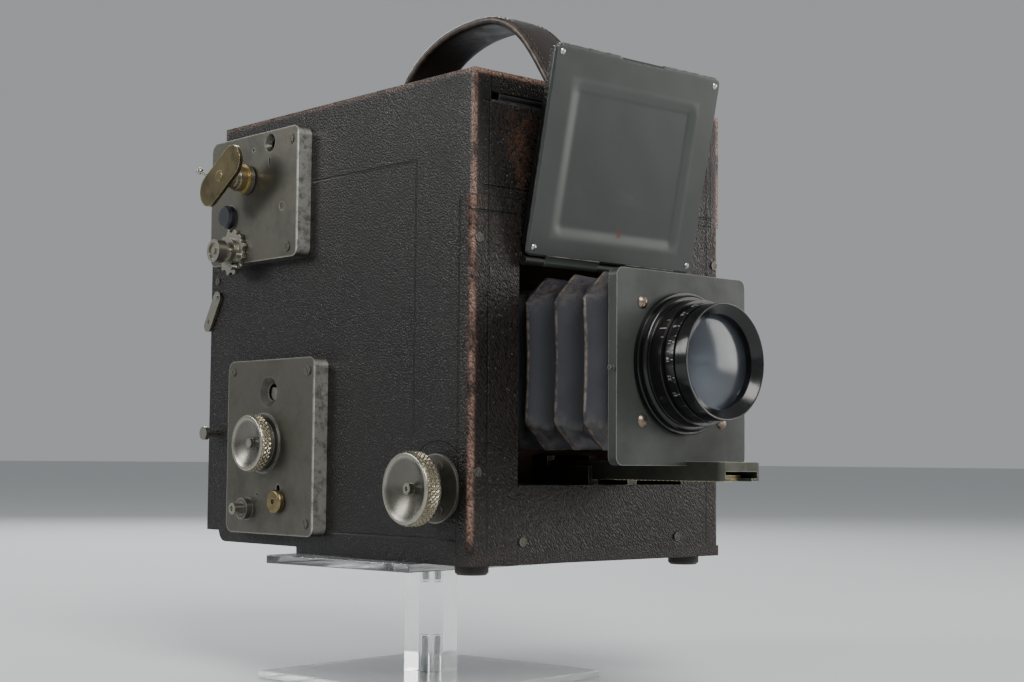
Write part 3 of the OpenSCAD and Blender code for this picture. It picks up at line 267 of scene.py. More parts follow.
def covering_leather(name, low, high, grain, relief, tone=0.0, lines=(), slant=0.0, patches=0.0):
    """Grained case leather: black or brown-black (tone), rubbed to copper-brown along the case's edges.

    slant stretches the grain along a diagonal; patches adds worn brown areas high on the front.
    """
    n = Nodes(name)
    place = n.place()
    drift = n.add("ShaderNodeTexNoise", {"Vector": place, "Scale": 420.0}).outputs["Color"]
    warp = n.vector("ADD", place, n.vector("MULTIPLY", drift, (0.001, 0.001, 0.001)))
    if slant:
        warp = n.turned(warp, slant, "Y_AXIS")
        warp = n.add("ShaderNodeMapping", {"Vector": warp, "Scale": (1.7, 1.0, 0.7)}).outputs[0]
    pebble = n.ramp(n.cells(1.0 / grain, warp, "SMOOTH_F1"), 0.22, 0.72, 1.0, 0.0)
    fine = n.noise(2600, 2)
    # Small pale dots, raised a little in the bump; their pale colour is a painted highlight standing in for glints of
    # light on the grain
    painted_glint_dots = n.times(n.ramp(n.cells(780), 0.16, 0.30, 1.0, 0.0), n.ramp(n.noise(520, 2, 0.6), 0.52, 0.60))
    broad = n.noise(38, 5, 0.6)
    patch = n.noise(13, 4, 0.6)
    p = n.split(place)
    # Corners that hands touch, at the front and top, are rubbed most
    handled = n.larger(n.ramp(p[1], case_edges[0][1] + 0.002, case_edges[0][1] + 0.010, 1.0, 0.12),
                       n.ramp(p[2], case_edges[1][2] - 0.020, case_edges[1][2] - 0.002, 0.12, 0.6))
    handled = n.times(handled, n.ramp(p[2], case_edges[0][2] + 0.001, case_edges[0][2] + 0.012, 0.3, 1.0))
    edge = n.box_edge(low, high)
    uneven = n.times(n.minus(broad, 0.5), 0.004)
    rub = n.times(n.ramp(n.plus(edge, uneven), 0.0006, 0.0032, 1.0, 0.0), handled)
    rub = n.times(rub, n.ramp(n.noise(260, 5, 0.75), 0.34, 0.6, 0.3, 1.0))
    bare = n.times(n.ramp(edge, 0.0008, 0.0022, 1.0, 0.0), n.ramp(n.noise(95, 5, 0.7), 0.34, 0.56))
    bare = n.times(bare, n.ramp(handled, 0.3, 0.9))
    black = n.mix(patch, rgb(0.0048, 0.0045, 0.0044), rgb(0.0095, 0.0085, 0.0082))
    aged = n.mix(broad, rgb(0.0075, 0.0062, 0.0056), rgb(0.021, 0.0145, 0.0115))
    black = n.mix(tone, black, aged)
    if patches:
        high_up = n.ramp(p[2], z_of(95), z_of(150))
        worn = n.times(n.ramp(n.noise(30, 6, 0.7), 0.50, 0.62), high_up)
        black = n.mix(n.times(worn, patches), black, rgb(0.062, 0.030, 0.017))
    tan = n.mix(broad, rgb(0.040, 0.0185, 0.0125), rgb(0.078, 0.036, 0.024))
    colour = n.mix(n.times(rub, 0.85), black, tan)
    colour = n.mix(n.times(bare, 0.85), colour, rgb(0.25, 0.15, 0.115))
    # Painted highlight: pale glint specks painted into the leather colour
    colour = n.mix(n.times(painted_glint_dots, 0.75), colour, rgb(0.105, 0.092, 0.080))
    colour = n.mix(n.times(n.minus(1.0, pebble), 0.72), colour, rgb(0.0025, 0.0023, 0.0023))
    height = n.plus(pebble, n.plus(n.times(fine, 0.3), n.times(painted_glint_dots, 0.6)))
    normal = n.bump(height, relief, 1.0)
    for line in lines:
        normal, colour = pressed_line(n, line, normal, colour)
    rough = n.minus(n.ramp(broad, 0.3, 0.75, 0.30, 0.45), n.times(bare, 0.12))
    return n.finish(colour, rough, normal, Specular_IOR_Level=0.30)


def pressed_line(n, line, normal, colour):
    """line is (axis across, place, axis along, from, to), in metres; or ('arc', y, z, radius)."""
    p = n.split(n.place())
    if line[0] == "arc":
        dy = n.minus(p[1], line[1])
        dz = n.minus(p[2], line[2])
        off = n.size(n.minus(n.length(dy, dz), line[3]))
        inside = n.above(dz, 0.003)
    else:
        across, at, along, low, high = line
        off = n.size(n.minus(p[across], at))
        inside = n.times(n.above(p[along], low), n.below(p[along], high))
    mark = n.times(n.ramp(off, 0.00018, 0.00055, 1.0, 0.0), inside)
    normal = n.bump(n.times(mark, -1.0), 0.0004, 0.9, normal)
    return normal, n.mix(n.times(mark, 0.6), colour, rgb(0.003, 0.003, 0.003))


def aged_metal(name, colour, dark, bright, rough, wear, metallic, tint=0.5, specular=0.5):
    """Plated or lacquered metal, bright where its edges are worn, with dull blotches and pits."""
    n = Nodes(name)
    blotch = n.noise(70, 6, 0.65)
    speck = n.noise(900, 3, 0.7)
    edge = n.edge(wear)
    worn = n.times(edge, n.ramp(n.noise(190, 4, 0.7), 0.25, 0.6, 0.45, 1.0))
    base = n.mix(n.ramp(blotch, 0.35, 0.7), colour, dark)
    base = n.mix(n.ramp(speck, 0.62, 0.75, 0.0, tint), base, dark)
    base = n.mix(worn, base, bright)
    height = n.plus(n.times(speck, 0.5), n.times(blotch, 0.5))
    normal = n.bump(height, 0.00005, 0.35)
    level = n.minus(n.ramp(blotch, 0.3, 0.75, rough, rough + 0.18), n.times(worn, 0.12))
    return n.finish(base, level, normal, metallic, Specular_IOR_Level=specular)


def gloss_black(name, rough=0.13, wear=0.0002, worn_level=0.85):
    n = Nodes(name)
    dust = n.noise(240, 5, 0.7)
    worn = n.times(n.edge(wear, 0.5), n.ramp(n.noise(260, 4, 0.7), 0.40, 0.64, 0.10, worn_level))
    colour = n.mix(dust, rgb(0.0035, 0.0035, 0.004), rgb(0.008, 0.008, 0.0085))
    colour = n.mix(worn, colour, rgb(0.36, 0.36, 0.34))
    level = n.ramp(dust, 0.3, 0.8, rough, rough + 0.12)
    return n.finish(colour, level, n.bump(dust, 0.00003, 0.25), 0.0, Specular_IOR_Level=0.4)


def dark_wood(name):
    n = Nodes(name)
    ring = n.noise(60, 6, 0.6, stretch=(1.0, 0.12, 1.0))
    fine = n.noise(700, 3, 0.6, stretch=(1.0, 0.05, 1.0))
    colour = n.mix(ring, rgb(0.055, 0.030, 0.016), rgb(0.15, 0.085, 0.045))
    colour = n.mix(n.times(fine, 0.5), colour, rgb(0.03, 0.016, 0.009))
    return n.finish(colour, n.ramp(ring, 0.3, 0.7, 0.42, 0.6), n.bump(fine, 0.0001, 0.5))


def cloth(name, a, b, pitch=0.0005, rough=0.85):
    n = Nodes(name)
    place = n.place()
    waves = [n.add("ShaderNodeTexWave", {"Vector": place, "Scale": 1.0 / pitch / 6.28 * 2, "Distortion": 0.4},
                   bands_direction=d).outputs["Fac"] for d in ("X", "Y", "Z")]
    weave = n.larger(waves[0], n.larger(waves[1], waves[2]))
    broad = n.noise(60, 5, 0.6)
    colour = n.mix(n.times(n.plus(weave, broad), 0.5), a, b)
    return n.finish(colour, rough, n.bump(weave, 0.00008, 0.5), Sheen_Weight=0.15)


def clear_acrylic(name, clearness):
    n = Nodes(name)
    haze = n.noise(45, 4, 0.6)
    return n.finish(rgb(0.955, 0.985, 0.99), n.ramp(haze, 0.35, 0.8, 0.03, 0.12),
                    n.bump(n.noise(400, 2), 0.00002, 0.1), Transmission_Weight=clearness, IOR=1.49)


def winding_key_metal(name):
    """Nickel boss with a brass collar, and a tarnished olive wing outside it with bright rubbed rims."""
    n = Nodes(name)
    x = n.split(n.place())[0]
    out = n.minus(at(-6, 0, 0)[0], x)
    blotch = n.noise(90, 5, 0.65)
    edge = n.times(n.edge(0.0007), n.ramp(n.noise(150, 4, 0.7), 0.25, 0.55, 0.5, 1.0))
    boss = n.mix(blotch, rgb(0.30, 0.285, 0.24), rgb(0.19, 0.18, 0.15))
    collar = n.times(n.above(out, 0.0022), n.below(out, 0.0056))
    boss = n.mix(collar, boss, rgb(0.34, 0.26, 0.12))
    wing = n.mix(blotch, rgb(0.075, 0.062, 0.032), rgb(0.14, 0.115, 0.06))
    colour = n.mix(n.above(out, 0.0105), boss, wing)
    colour = n.mix(edge, colour, rgb(0.74, 0.64, 0.40))
    level = n.minus(n.ramp(blotch, 0.3, 0.75, 0.25, 0.42), n.times(edge, 0.1))
    return n.finish(colour, level, n.bump(n.noise(700, 3, 0.6), 0.00005, 0.3), 0.9)


def lens_glass(name):
    n = Nodes(name)
    haze = n.noise(30, 3, 0.5)
    return n.finish(rgb(0.34, 0.39, 0.45), n.ramp(haze, 0.4, 0.8, 0.16, 0.24), Transmission_Weight=0.95, IOR=1.5,
                    Coat_Weight=0.12, Coat_Roughness=0.2, Coat_Tint=rgb(0.75, 0.85, 1.0))


side_lines = [
    (2, z_of(145.5), 1, y_of(32), y_of(97)), (1, y_of(32), 2, z_of(46), z_of(145.5)),
    (1, y_of(7.2), 2, z_of(4), z_of(130)), (2, z_of(9), 1, y_of(8), y_of(84)),
    ("arc", y_of(18), z_of(26.7), 0.0165),
]
leather_side = covering_leather("leather_side", *case_edges, 0.0006, 0.00009, 0.0, side_lines)
leather_right = covering_leather("leather_right", *case_edges, 0.0006, 0.00009, 0.0, side_lines[:3])
leather_front = covering_leather("leather_front", *case_edges, 0.00085, 0.00017, 0.75, [
    (0, at(7.5, 0, 0)[0], 2, z_of(5), z_of(164)), (0, at(121.5, 0, 0)[0], 2, z_of(5), z_of(164)),
    (2, z_of(124.3), 0, at(0, 0, 0)[0], at(20, 0, 0)[0]), (2, z_of(133.3), 0, at(0, 0, 0)[0], at(129, 0, 0)[0])],
    slant=0.7, patches=0.8)
leather_top = covering_leather("leather_top", *case_edges, 0.0007, 0.0001, 0.3)
leather_back = covering_leather("leather_back", *(Vector(v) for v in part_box("plate_holder")), 0.0007, 0.0001, 0.1)

# Colour, colour of the dull blotches, colour where worn, roughness, width of worn edges, metallic
metal_looks = {
    "gunmetal": ((0.115, 0.11, 0.092), (0.072, 0.069, 0.058), (0.52, 0.51, 0.46), 0.34, 0.0014, 0.78),
    "olive_metal": ((0.075, 0.077, 0.062), (0.045, 0.047, 0.038), (0.42, 0.40, 0.33), 0.40, 0.0006, 0.7),
    # Paint has fewer specks and less shine too
    "grey_paint": ((0.036, 0.041, 0.037), (0.027, 0.031, 0.028), (0.30, 0.31, 0.29), 0.36, 0.0006, 0.0, 0.35, 0.30),
    "nickel": ((0.36, 0.345, 0.30), (0.19, 0.18, 0.15), (0.76, 0.73, 0.62), 0.24, 0.0005, 0.95),
    "steel": ((0.46, 0.46, 0.45), (0.3, 0.3, 0.29), (0.8, 0.8, 0.78), 0.24, 0.0004, 1.0),
    "brass": ((0.29, 0.235, 0.12), (0.12, 0.095, 0.05), (0.80, 0.68, 0.40), 0.28, 0.0006, 0.95),
    "rim_brass": ((0.27, 0.245, 0.18), (0.085, 0.074, 0.05), (0.66, 0.61, 0.47), 0.33, 0.0003, 0.9),
    "screw_metal": ((0.10, 0.096, 0.078), (0.045, 0.047, 0.038), (0.38, 0.36, 0.30), 0.40, 0.0003, 0.7),
    "board_screw": ((0.30, 0.235, 0.18), (0.14, 0.11, 0.085), (0.62, 0.52, 0.42), 0.27, 0.0003, 0.95),
    "blued_steel": ((0.052, 0.058, 0.066), (0.028, 0.031, 0.036), (0.28, 0.30, 0.33), 0.30, 0.0006, 0.7),
    "dark_metal": ((0.05, 0.05, 0.048), (0.03, 0.03, 0.03), (0.35, 0.34, 0.31), 0.38, 0.0005, 0.6),
}
metals = {name: aged_metal(name, *(rgb(*colour) for colour in row[:3]), *row[3:]) for name, row in metal_looks.items()}
nickel, steel, brass = metals["nickel"], metals["steel"], metals["brass"]
olive, paint = metals["olive_metal"], metals["grey_paint"]


def cover_metal(name, node):
    """Gunmetal pan whose front wall and edges are worn to bright silver."""
    n = Nodes(name)
    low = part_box(node)[0]
    p = n.split(n.place())
    blotch = n.noise(70, 6, 0.65)
    speck = n.noise(900, 3, 0.7)
    scuff = n.noise(260, 5, 0.8)
    wall = n.times(n.ramp(p[1], low[1] + 0.0004, low[1] + 0.0019, 1.0, 0.0), n.ramp(scuff, 0.36, 0.56, 0.3, 1.0))
    edge = n.times(n.edge(0.0013), n.ramp(scuff, 0.3, 0.6, 0.35, 0.9))
    worn = n.larger(wall, edge)
    base = n.mix(n.ramp(blotch, 0.35, 0.7), rgb(0.112, 0.108, 0.090), rgb(0.068, 0.066, 0.056))
    base = n.mix(n.ramp(speck, 0.62, 0.75, 0.0, 0.5), base, rgb(0.05, 0.049, 0.042))
    base = n.mix(worn, base, rgb(0.50, 0.495, 0.455))
    height = n.plus(n.times(speck, 0.5), n.times(scuff, n.plus(wall, 0.25)))
    level = n.minus(n.ramp(blotch, 0.3, 0.75, 0.33, 0.5), n.times(worn, 0.06))
    return n.finish(base, level, n.bump(height, 0.00008, 0.45), 0.78)


def centre_of(node):
    low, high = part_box(node)
    return (Vector(low) + Vector(high)) / 2


def dished_metal(name, centre, r):
    """Nickel knob of radius r millimetres, with painted shade darkening the inside of its dish, and bright on the rim
    and boss.
    """
    n = Nodes(name)
    p = n.split(n.place())
    out = n.length(n.minus(p[1], centre[1]), n.minus(p[2], centre[2]))
    # Painted shade: mask that darkens the dish between the boss and the rim
    painted_dish_shade = n.times(n.ramp(out, (r - 2.6) * mm, (r - 0.9) * mm, 1.0, 0.0), n.ramp(out, 0.0009, 0.0024))
    blotch = n.noise(110, 5, 0.65)
    bright = n.mix(blotch, rgb(0.44, 0.425, 0.37), rgb(0.30, 0.285, 0.24))
    dark = n.mix(blotch, rgb(0.105, 0.101, 0.088), rgb(0.17, 0.163, 0.14))
    colour = n.mix(painted_dish_shade, bright, dark)
    colour = n.mix(n.times(n.edge(0.0004), 0.7), colour, rgb(0.74, 0.71, 0.6))
    ring = n.math("SINE", n.times(out, 21000.0))
    return n.finish(colour, n.ramp(blotch, 0.3, 0.75, 0.22, 0.36), n.bump(ring, 0.000006, 0.5), 0.95)


focus_centre, tension_centre = centre_of("focus_knob"), at(0, tension_y, tension_z)
enamel = gloss_black("enamel")
matt_black = gloss_black("matt_black", 0.5, 0.0004)
key_metal = winding_key_metal("key_metal")
wood = dark_wood("wood")
black_cloth = cloth("black_cloth", rgb(0.008, 0.008, 0.009), rgb(0.024, 0.023, 0.025))
acrylic = clear_acrylic("acrylic", 0.97)
frosted = clear_acrylic("acrylic_frosted", 0.72)
glass = lens_glass("lens_glass")
rubber = cloth("rubber", rgb(0.012, 0.010, 0.009), rgb(0.03, 0.022, 0.018), 0.002, 0.7)
ground = Nodes("ground_glass")
ground = ground.finish(rgb(0.72, 0.76, 0.74), ground.ramp(ground.noise(900), 0.3, 0.7, 0.5, 0.62),
                       ground.bump(ground.noise(3000), 0.00004, 0.5), Transmission_Weight=0.85)
silver = Nodes("mirror_silver")
silver = silver.finish(silver.mix(silver.noise(30, 5), rgb(0.80, 0.82, 0.83), rgb(0.72, 0.74, 0.74)),
                       silver.ramp(silver.noise(80, 4), 0.4, 0.8, 0.02, 0.09), None, 1.0)

looks = {
    "base_panel": leather_side, "floor_board": wood, "side_wall_left": leather_side,
    "side_wall_right": leather_right, "front_frame": leather_front, "front_upper_panel": leather_front,
    "top_rear_panel": leather_top, "back_frame": leather_back, "plate_holder": leather_back,
    "dark_slide": matt_black, "back_latch": nickel, "pull_pin": nickel, "feet": rubber, "tripod_bush": brass,
    "case_screws": metals["screw_metal"], "case_hinges": matt_black, "hood_lid": leather_top,
    "strap_brackets": metals["dark_metal"], "ground_glass_frame": wood, "ground_glass": ground,
    "front_door": paint, "door_leather": leather_back, "door_rivets": steel, "lens_board": paint,
    "lens_board_screws": metals["board_screw"], "lens_flange": enamel, "lens_barrel": enamel,
    "aperture_ring": enamel, "front_element": glass, "bellows_frame": wood, "focus_track": olive,
    "focus_rack": brass, "track_guide": olive, "focus_knob": dished_metal("focus_knob_metal", focus_centre, 12.6),
    "pinion_shaft": steel, "knob_escutcheon": metals["gunmetal"], "mirror_box": matt_black,
    "mirror_frame": metals["dark_metal"], "mirror_glass": silver, "shutter_curtain": black_cloth,
    "upper_roller": brass, "winding_key": key_metal, "curtain_dial": nickel, "lower_roller": brass,
    "tension_knob": dished_metal("tension_knob_metal", tension_centre, 10.9), "tension_dial": nickel,
    "upper_cover": cover_metal("upper_cover_metal", "upper_cover"),
    "lower_cover": cover_metal("lower_cover_metal", "lower_cover"), "brass_button": brass,
    "stud_button": nickel, "dark_button": metals["blued_steel"], "release_lever": nickel, "setting_knob": nickel,
    "stand_base": frosted, "stand_post": acrylic, "stand_top_plate": acrylic, "stand_screws": steel,
    "carrying_strap": black_cloth, "bellows": black_cloth, "focusing_hood": black_cloth,
}
for name, material in looks.items():
    for slot in nodes[name].material_slots:
        slot.material = material
    if not nodes[name].material_slots:
        nodes[name].data.materials.append(material)


def soften(obj, width):
    """Rounds the hard edges of a CAD node with modifiers; its mesh stays as packed."""
    weld = obj.modifiers.new("weld", "WELD")
    weld.merge_threshold = 2e-6
    bevel = obj.modifiers.new("round_edges", "BEVEL")
    bevel.width = width
    bevel.segments = 3
    bevel.limit_method = "ANGLE"
    bevel.angle_limit = math.radians(32)
    bevel.use_clamp_overlap = True
    bevel.harden_normals = False
    smooth = obj.modifiers.new("even_normals", "WEIGHTED_NORMAL")
    smooth.keep_sharp = True


# Radius of the rounded edges in millimetres, and the nodes that have it
rounding = {
    0.9: "side_wall_left side_wall_right hood_lid", 0.8: "top_rear_panel back_frame plate_holder",
    0.7: "front_frame", 0.6: "base_panel door_leather feet", 0.55: "upper_cover lower_cover",
    0.5: "front_upper_panel lens_board", 0.35: "focus_track lens_flange strap_brackets", 0.3: "winding_key",
    0.25: "stand_base stand_post stand_top_plate", 0.22: "lens_barrel",
    0.2: "aperture_ring focus_knob tension_knob setting_knob", 0.12: "dark_slide",
}
for width, names in rounding.items():
    for name in names.split():
        soften(nodes[name], width * mm)


# ---------------------------------------------------------------- mesh tools
def mesh_object(name, bm, body, materials, replaced=(), smooth=True):
    mesh = bpy.data.meshes.new(name)
    bmesh.ops.recalc_face_normals(bm, faces=bm.faces)
    bm.to_mesh(mesh)
    bm.free()
    obj = bpy.data.objects.new(name, mesh)
    bpy.context.scene.collection.objects.link(obj)
    for material in materials:
        mesh.materials.append(material)
    for polygon in mesh.polygons:
        polygon.use_smooth = smooth
    if body:
        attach(obj, body)
    if replaced:
        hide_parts(*replaced)
    return obj


def join(bm, rings, turned=False):
    """Quads between each ring of points and the next; turned makes each face start the other way round."""
    for a, b in zip(rings, rings[1:]):
        for i in range(len(a)):
            j = (i + 1) % len(a)
            bm.faces.new((a[i], b[i], b[j], a[j]) if turned else (a[i], a[j], b[j], b[i]))


def lathe(bm, origin, profile, count, wobble=None):
    """Turns (radius, distance) points round the x axis; wobble(angle, distance, radius) changes the radius."""
    axis = Vector((1, 0, 0))
    u = axis.orthogonal().normalized()
    v = axis.cross(u)
    rings = []
    for r, t in profile:
        ring = []
        for i in range(count):
            a = 2 * math.pi * i / count
            radius = wobble(a, t, r) if wobble else r
            ring.append(bm.verts.new(origin + axis * t + (u * math.cos(a) + v * math.sin(a)) * radius))
        rings.append(ring)
    join(bm, rings)


def sharp_by_angle(obj, degrees):
    obj.data.set_sharp_from_angle(angle=math.radians(degrees))


# ---------------------------------------------------------------- knobs
def diamond(angle, along, teeth, radius):
    """0 in the grooves and 1 on the points of a diamond knurl, for a place on a rim."""
    turn = angle * teeth / (2 * math.pi)
    step = along * teeth / (2 * math.pi * radius)
    one = abs(((turn + step) % 1.0) - 0.5) * 2
    two = abs(((turn - step) % 1.0) - 0.5) * 2
    return min(1 - one, 1 - two) * 2 if max(one, two) > 0.5 else 1.0


def knurled_rim(name, body, centre, start_x, width, r, depth, teeth):
    """A sleeve of diamond knurling round a knob's rim, standing depth above radius r; millimetres."""
    bm = bmesh.new()
    rows = int(width / 0.22)
    count = teeth * 8
    profile = [(r - 0.4, -0.05), (r + 0.04, 0.0), (r + 0.1, 0.18)]
    profile += [(r + depth, 0.3 + (width - 0.6) * i / rows) for i in range(rows + 1)]
    profile += [(r + 0.1, width - 0.18), (r + 0.04, width), (r - 0.4, width + 0.05)]

    def carve(angle, along, radius):
        if radius < (r + depth) * mm - 1e-9:
            return radius
        s = (along / mm - 0.3) / (width - 0.6)
        fade = min(1.0, 7 * min(s, 1 - s) + 0.2)
        return (r + 0.06) * mm + depth * mm * diamond(angle, along / mm, teeth, r) * fade

    origin = Vector((at(start_x, 0, 0)[0], centre[1], centre[2]))
    lathe(bm, origin, [(a * mm, b * mm) for a, b in profile], count, carve)
    sharp_by_angle(mesh_object(name, bm, body, [metals["rim_brass"]], ()), 24)


knurled_rim("focus_knob_knurl", "focus_drive", focus_centre, -14.5, 5.8, 12.58, 0.55, 44)
knurled_rim("tension_knob_knurl", "tension", tension_centre, -13.6, 4.3, 10.88, 0.5, 38)


# ---------------------------------------------------------------- bellows
pleats = 5


def bellows_mesh():
    """Folded skin between the case and the standard: ridges chamfered at the corners, valleys drawn in."""
    low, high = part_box("bellows")
    front, back = low[1], high[1]
    cx = (low[0] + high[0]) / 2
    cz = (low[2] + high[2]) / 2
    half_w = (high[0] - low[0]) / 2 - 0.0003
    half_h = (high[2] - low[2]) / 2 - 0.0003
    pitch = (back - front) / pleats
    # How far along a pleat, and how far out of the valley
    pleat = ((0.0, 0.0), (0.16, 0.30), (0.34, 0.66), (0.5, 0.93), (0.56, 1.0), (0.62, 0.97), (0.72, 0.62),
             (0.86, 0.22))
    bm = bmesh.new()
    grow = []
    for k in range(pleats):
        y0 = front + k * pitch
        grow += [(y0 + s * pitch, out) for s, out in pleat]
    grow.append((back, 0.0))
    rings = []
    for y, out in grow:
        w = half_w - 0.0062 * (1 - out)
        h = half_h - 0.0050 * (1 - out)
        cut = 0.0015 + 0.0085 * out
        corners = [(w, -h + cut), (w, h - cut), (w - cut, h), (-w + cut, h), (-w, h - cut), (-w, -h + cut),
                   (-w + cut, -h), (w - cut, -h)]
        ring = []
        for c in range(8):
            a = Vector(corners[c])
            b = Vector(corners[(c + 1) % 8])
            steps = 14 if c % 2 == 0 else 4
            for i in range(steps):
                p = a.lerp(b, i / steps)
                s = i / steps
                sag = 0.0006 * math.sin(math.pi * s) * (0.4 + out) if c % 2 == 0 else 0
                jit = noise.noise(Vector((p.x * 60, y * 90, p.y * 60))) * 0.00035
                centre = Vector((p.x, p.y)).normalized()
                q = p - centre * (sag + abs(jit))
                wander = noise.noise(Vector((p.x * 45, y * 300, p.y * 45))) * 0.0005 * out
                ring.append(bm.verts.new((cx + q.x, y + wander, cz + q.y)))
        rings.append(ring)
    join(bm, rings)
    for ring in (rings[0], rings[-1]):
        lip = [bm.verts.new((cx + (v.co.x - cx) * 0.86, v.co.y, cz + (v.co.z - cz) * 0.84)) for v in ring]
        join(bm, [ring, lip])
    return bm


def bellows_material():
    n = Nodes("bellows_skin")
    low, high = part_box("bellows")
    p = n.split(n.place())
    pitch = (high[1] - low[1]) / pleats
    phase = n.math("FRACT", n.math("DIVIDE", n.minus(p[1], low[1]), pitch))
    ridge = n.ramp(n.size(n.minus(phase, 0.57)), 0.02, 0.075, 1.0, 0.0)
    fray = n.noise(330, 6, 0.75)
    broad = n.noise(45, 4, 0.6)
    dx = n.size(n.minus(p[0], (low[0] + high[0]) / 2))
    dz = n.size(n.minus(p[2], (low[2] + high[2]) / 2))
    inset = n.plus(n.minus(dx, (high[0] - low[0]) / 2), n.minus(dz, (high[2] - low[2]) / 2))
    corner = n.ramp(inset, -0.017, -0.010)
    fold = n.larger(ridge, n.times(corner, 0.35))
    rub = n.times(fold, n.ramp(fray, 0.38, 0.62))
    base = n.mix(broad, rgb(0.017, 0.018, 0.024), rgb(0.036, 0.038, 0.048))
    # Painted shade: the valleys and rear slopes of the pleats are darkened in the colour, away from each ridge
    depth = n.ramp(n.size(n.minus(phase, 0.57)), 0.12, 0.5, 1.0, 0.35)
    base = n.mix(depth, rgb(0.008, 0.008, 0.010), base)
    base = n.mix(n.times(rub, 0.85), base, rgb(0.185, 0.15, 0.115))
    grain = n.cells(1500)
    height = n.plus(n.times(grain, 0.6), n.times(fray, 0.8))
    return n.finish(base, n.ramp(broad, 0.3, 0.7, 0.33, 0.5), n.bump(height, 0.00014, 0.6))


bellows = mesh_object("bellows_skin", bellows_mesh(), None, [bellows_material()], ("bellows",))
sharp_by_angle(bellows, 50)
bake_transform(bellows)


# ---------------------------------------------------------------- pressed door sheet
door_place = Matrix.Translation(at(*door_hinge)) @ Matrix.Rotation(door_lean, 4, "X")


def door_point(x, y, z):
    return door_place @ Vector((x * mm, y * mm, z * mm))


def ease(t):
    t = max(0.0, min(1.0, t))
    return t * t * (3 - 2 * t)


def inside_rounded(x, z, half_w, low, high, r):
    """Distance inside a rounded rectangle, positive within."""
    qx = abs(x) - (half_w - r)
    qz = abs(z - (low + high) / 2) - ((high - low) / 2 - r)
    outside = math.hypot(max(qx, 0), max(qz, 0)) + min(max(qx, qz), 0)
    return r - outside


def door_sheet():
    """The sheet pressed out round a shallow panel, its rim rolled back, a little uneven from use."""
    half_w, foot, top, face, corner = 43.4, 2.0, 77.6, -2.2, 2.2
    bm = bmesh.new()
    columns, rows = 110, 96
    grids = []
    for back in (False, True):
        grid = []
        for j in range(rows + 1):
            t = j / rows
            z = foot + (top - foot) * t
            rounded = max(0.0, corner - min(z - foot, top - z))
            w = half_w - (corner - math.sqrt(max(0.0, corner ** 2 - rounded ** 2)))
            row = []
            for i in range(columns + 1):
                x = (2 * i / columns - 1) * w
                rim = inside_rounded(x, z, half_w, foot, top, corner)
                roll = 0.75 * (1 - math.sqrt(max(0.0, 1 - (1 - min(max(rim, 0.0), 0.8) / 0.8) ** 2)))
                panel = 0.72 * ease(inside_rounded(x, z, 33.2, 9.3, 66.7, 5.5) / 4.8)
                dent = 0.05 * noise.noise(Vector((x / 11, z / 13, 2.0)))
                y = -1.02 if back else face + 0.06 + roll + panel + dent
                row.append(bm.verts.new(door_point(x, y, z)))
            grid.append(row)
        grids.append(grid)
    front, rear = grids
    for j in range(rows):
        for i in range(columns):
            bm.faces.new((front[j][i], front[j][i + 1], front[j + 1][i + 1], front[j + 1][i]))
            bm.faces.new((rear[j][i], rear[j + 1][i], rear[j + 1][i + 1], rear[j][i + 1]))
    for i in range(columns):
        for j in (0, rows):
            bm.faces.new((front[j][i], rear[j][i], rear[j][i + 1], front[j][i + 1]))
    for j in range(rows):
        for i in (0, columns):
            bm.faces.new((front[j][i], front[j + 1][i], rear[j + 1][i], rear[j][i]))
    # Top edge folded back over the covered layer, dipped at the catch and slightly ragged
    strips = []
    steps = 90
    for i in range(steps + 1):
        x = 40.6 * (2 * i / steps - 1)
        dip = 0.85 * ease((11.6 - abs(x)) / 1.4) + 0.22 * noise.noise(Vector((x / 3.1, 4.0, 1.0)))
        dip += 0.35 * max(0.0, noise.noise(Vector((x / 1.3, 9.0, 5.0))))
        outline = [(face + 0.12, 76.4), (face + 0.02, 77.2), (face + 0.22, 77.75), (face + 0.75, 78.0),
                   (-0.6, 77.95), (0.5, 77.8), (0.78, 77.3), (0.6, 76.9), (-1.0, 76.85)]
        strips.append([bm.verts.new(door_point(x, y, z - (dip if z > 77 else 0))) for y, z in outline])
    join(bm, strips, turned=True)
    bm.faces.new(strips[0])
    bm.faces.new(strips[-1])
    # Hinge knuckles, bored for the pin, each with its web up to the sheet
    for start, end in ((-33.4, -6.6), (6.6, 33.4)):
        length = end - start
        outline = [(0.85, 0), (1.35, 0), (1.6, 0.25), (1.6, length - 0.25), (1.35, length), (0.85, length),
                   (0.85, 0)]
        lathe(bm, door_point(start, 0, 0), [(a * mm, b * mm) for a, b in outline], 40)
        web = [(-1.6, 0.0), (-1.6, 1.4), (-2.15, 2.4), (-1.5, 3.2), (-0.95, 2.6), (-0.85, 1.2), (-0.9, 0.6)]
        sides = [[bm.verts.new(door_point(x, y, z)) for y, z in web] for x in (start + 0.1, end - 0.1)]
        join(bm, sides, turned=True)
        bm.faces.new(sides[0])
        bm.faces.new(sides[1])
    return bm


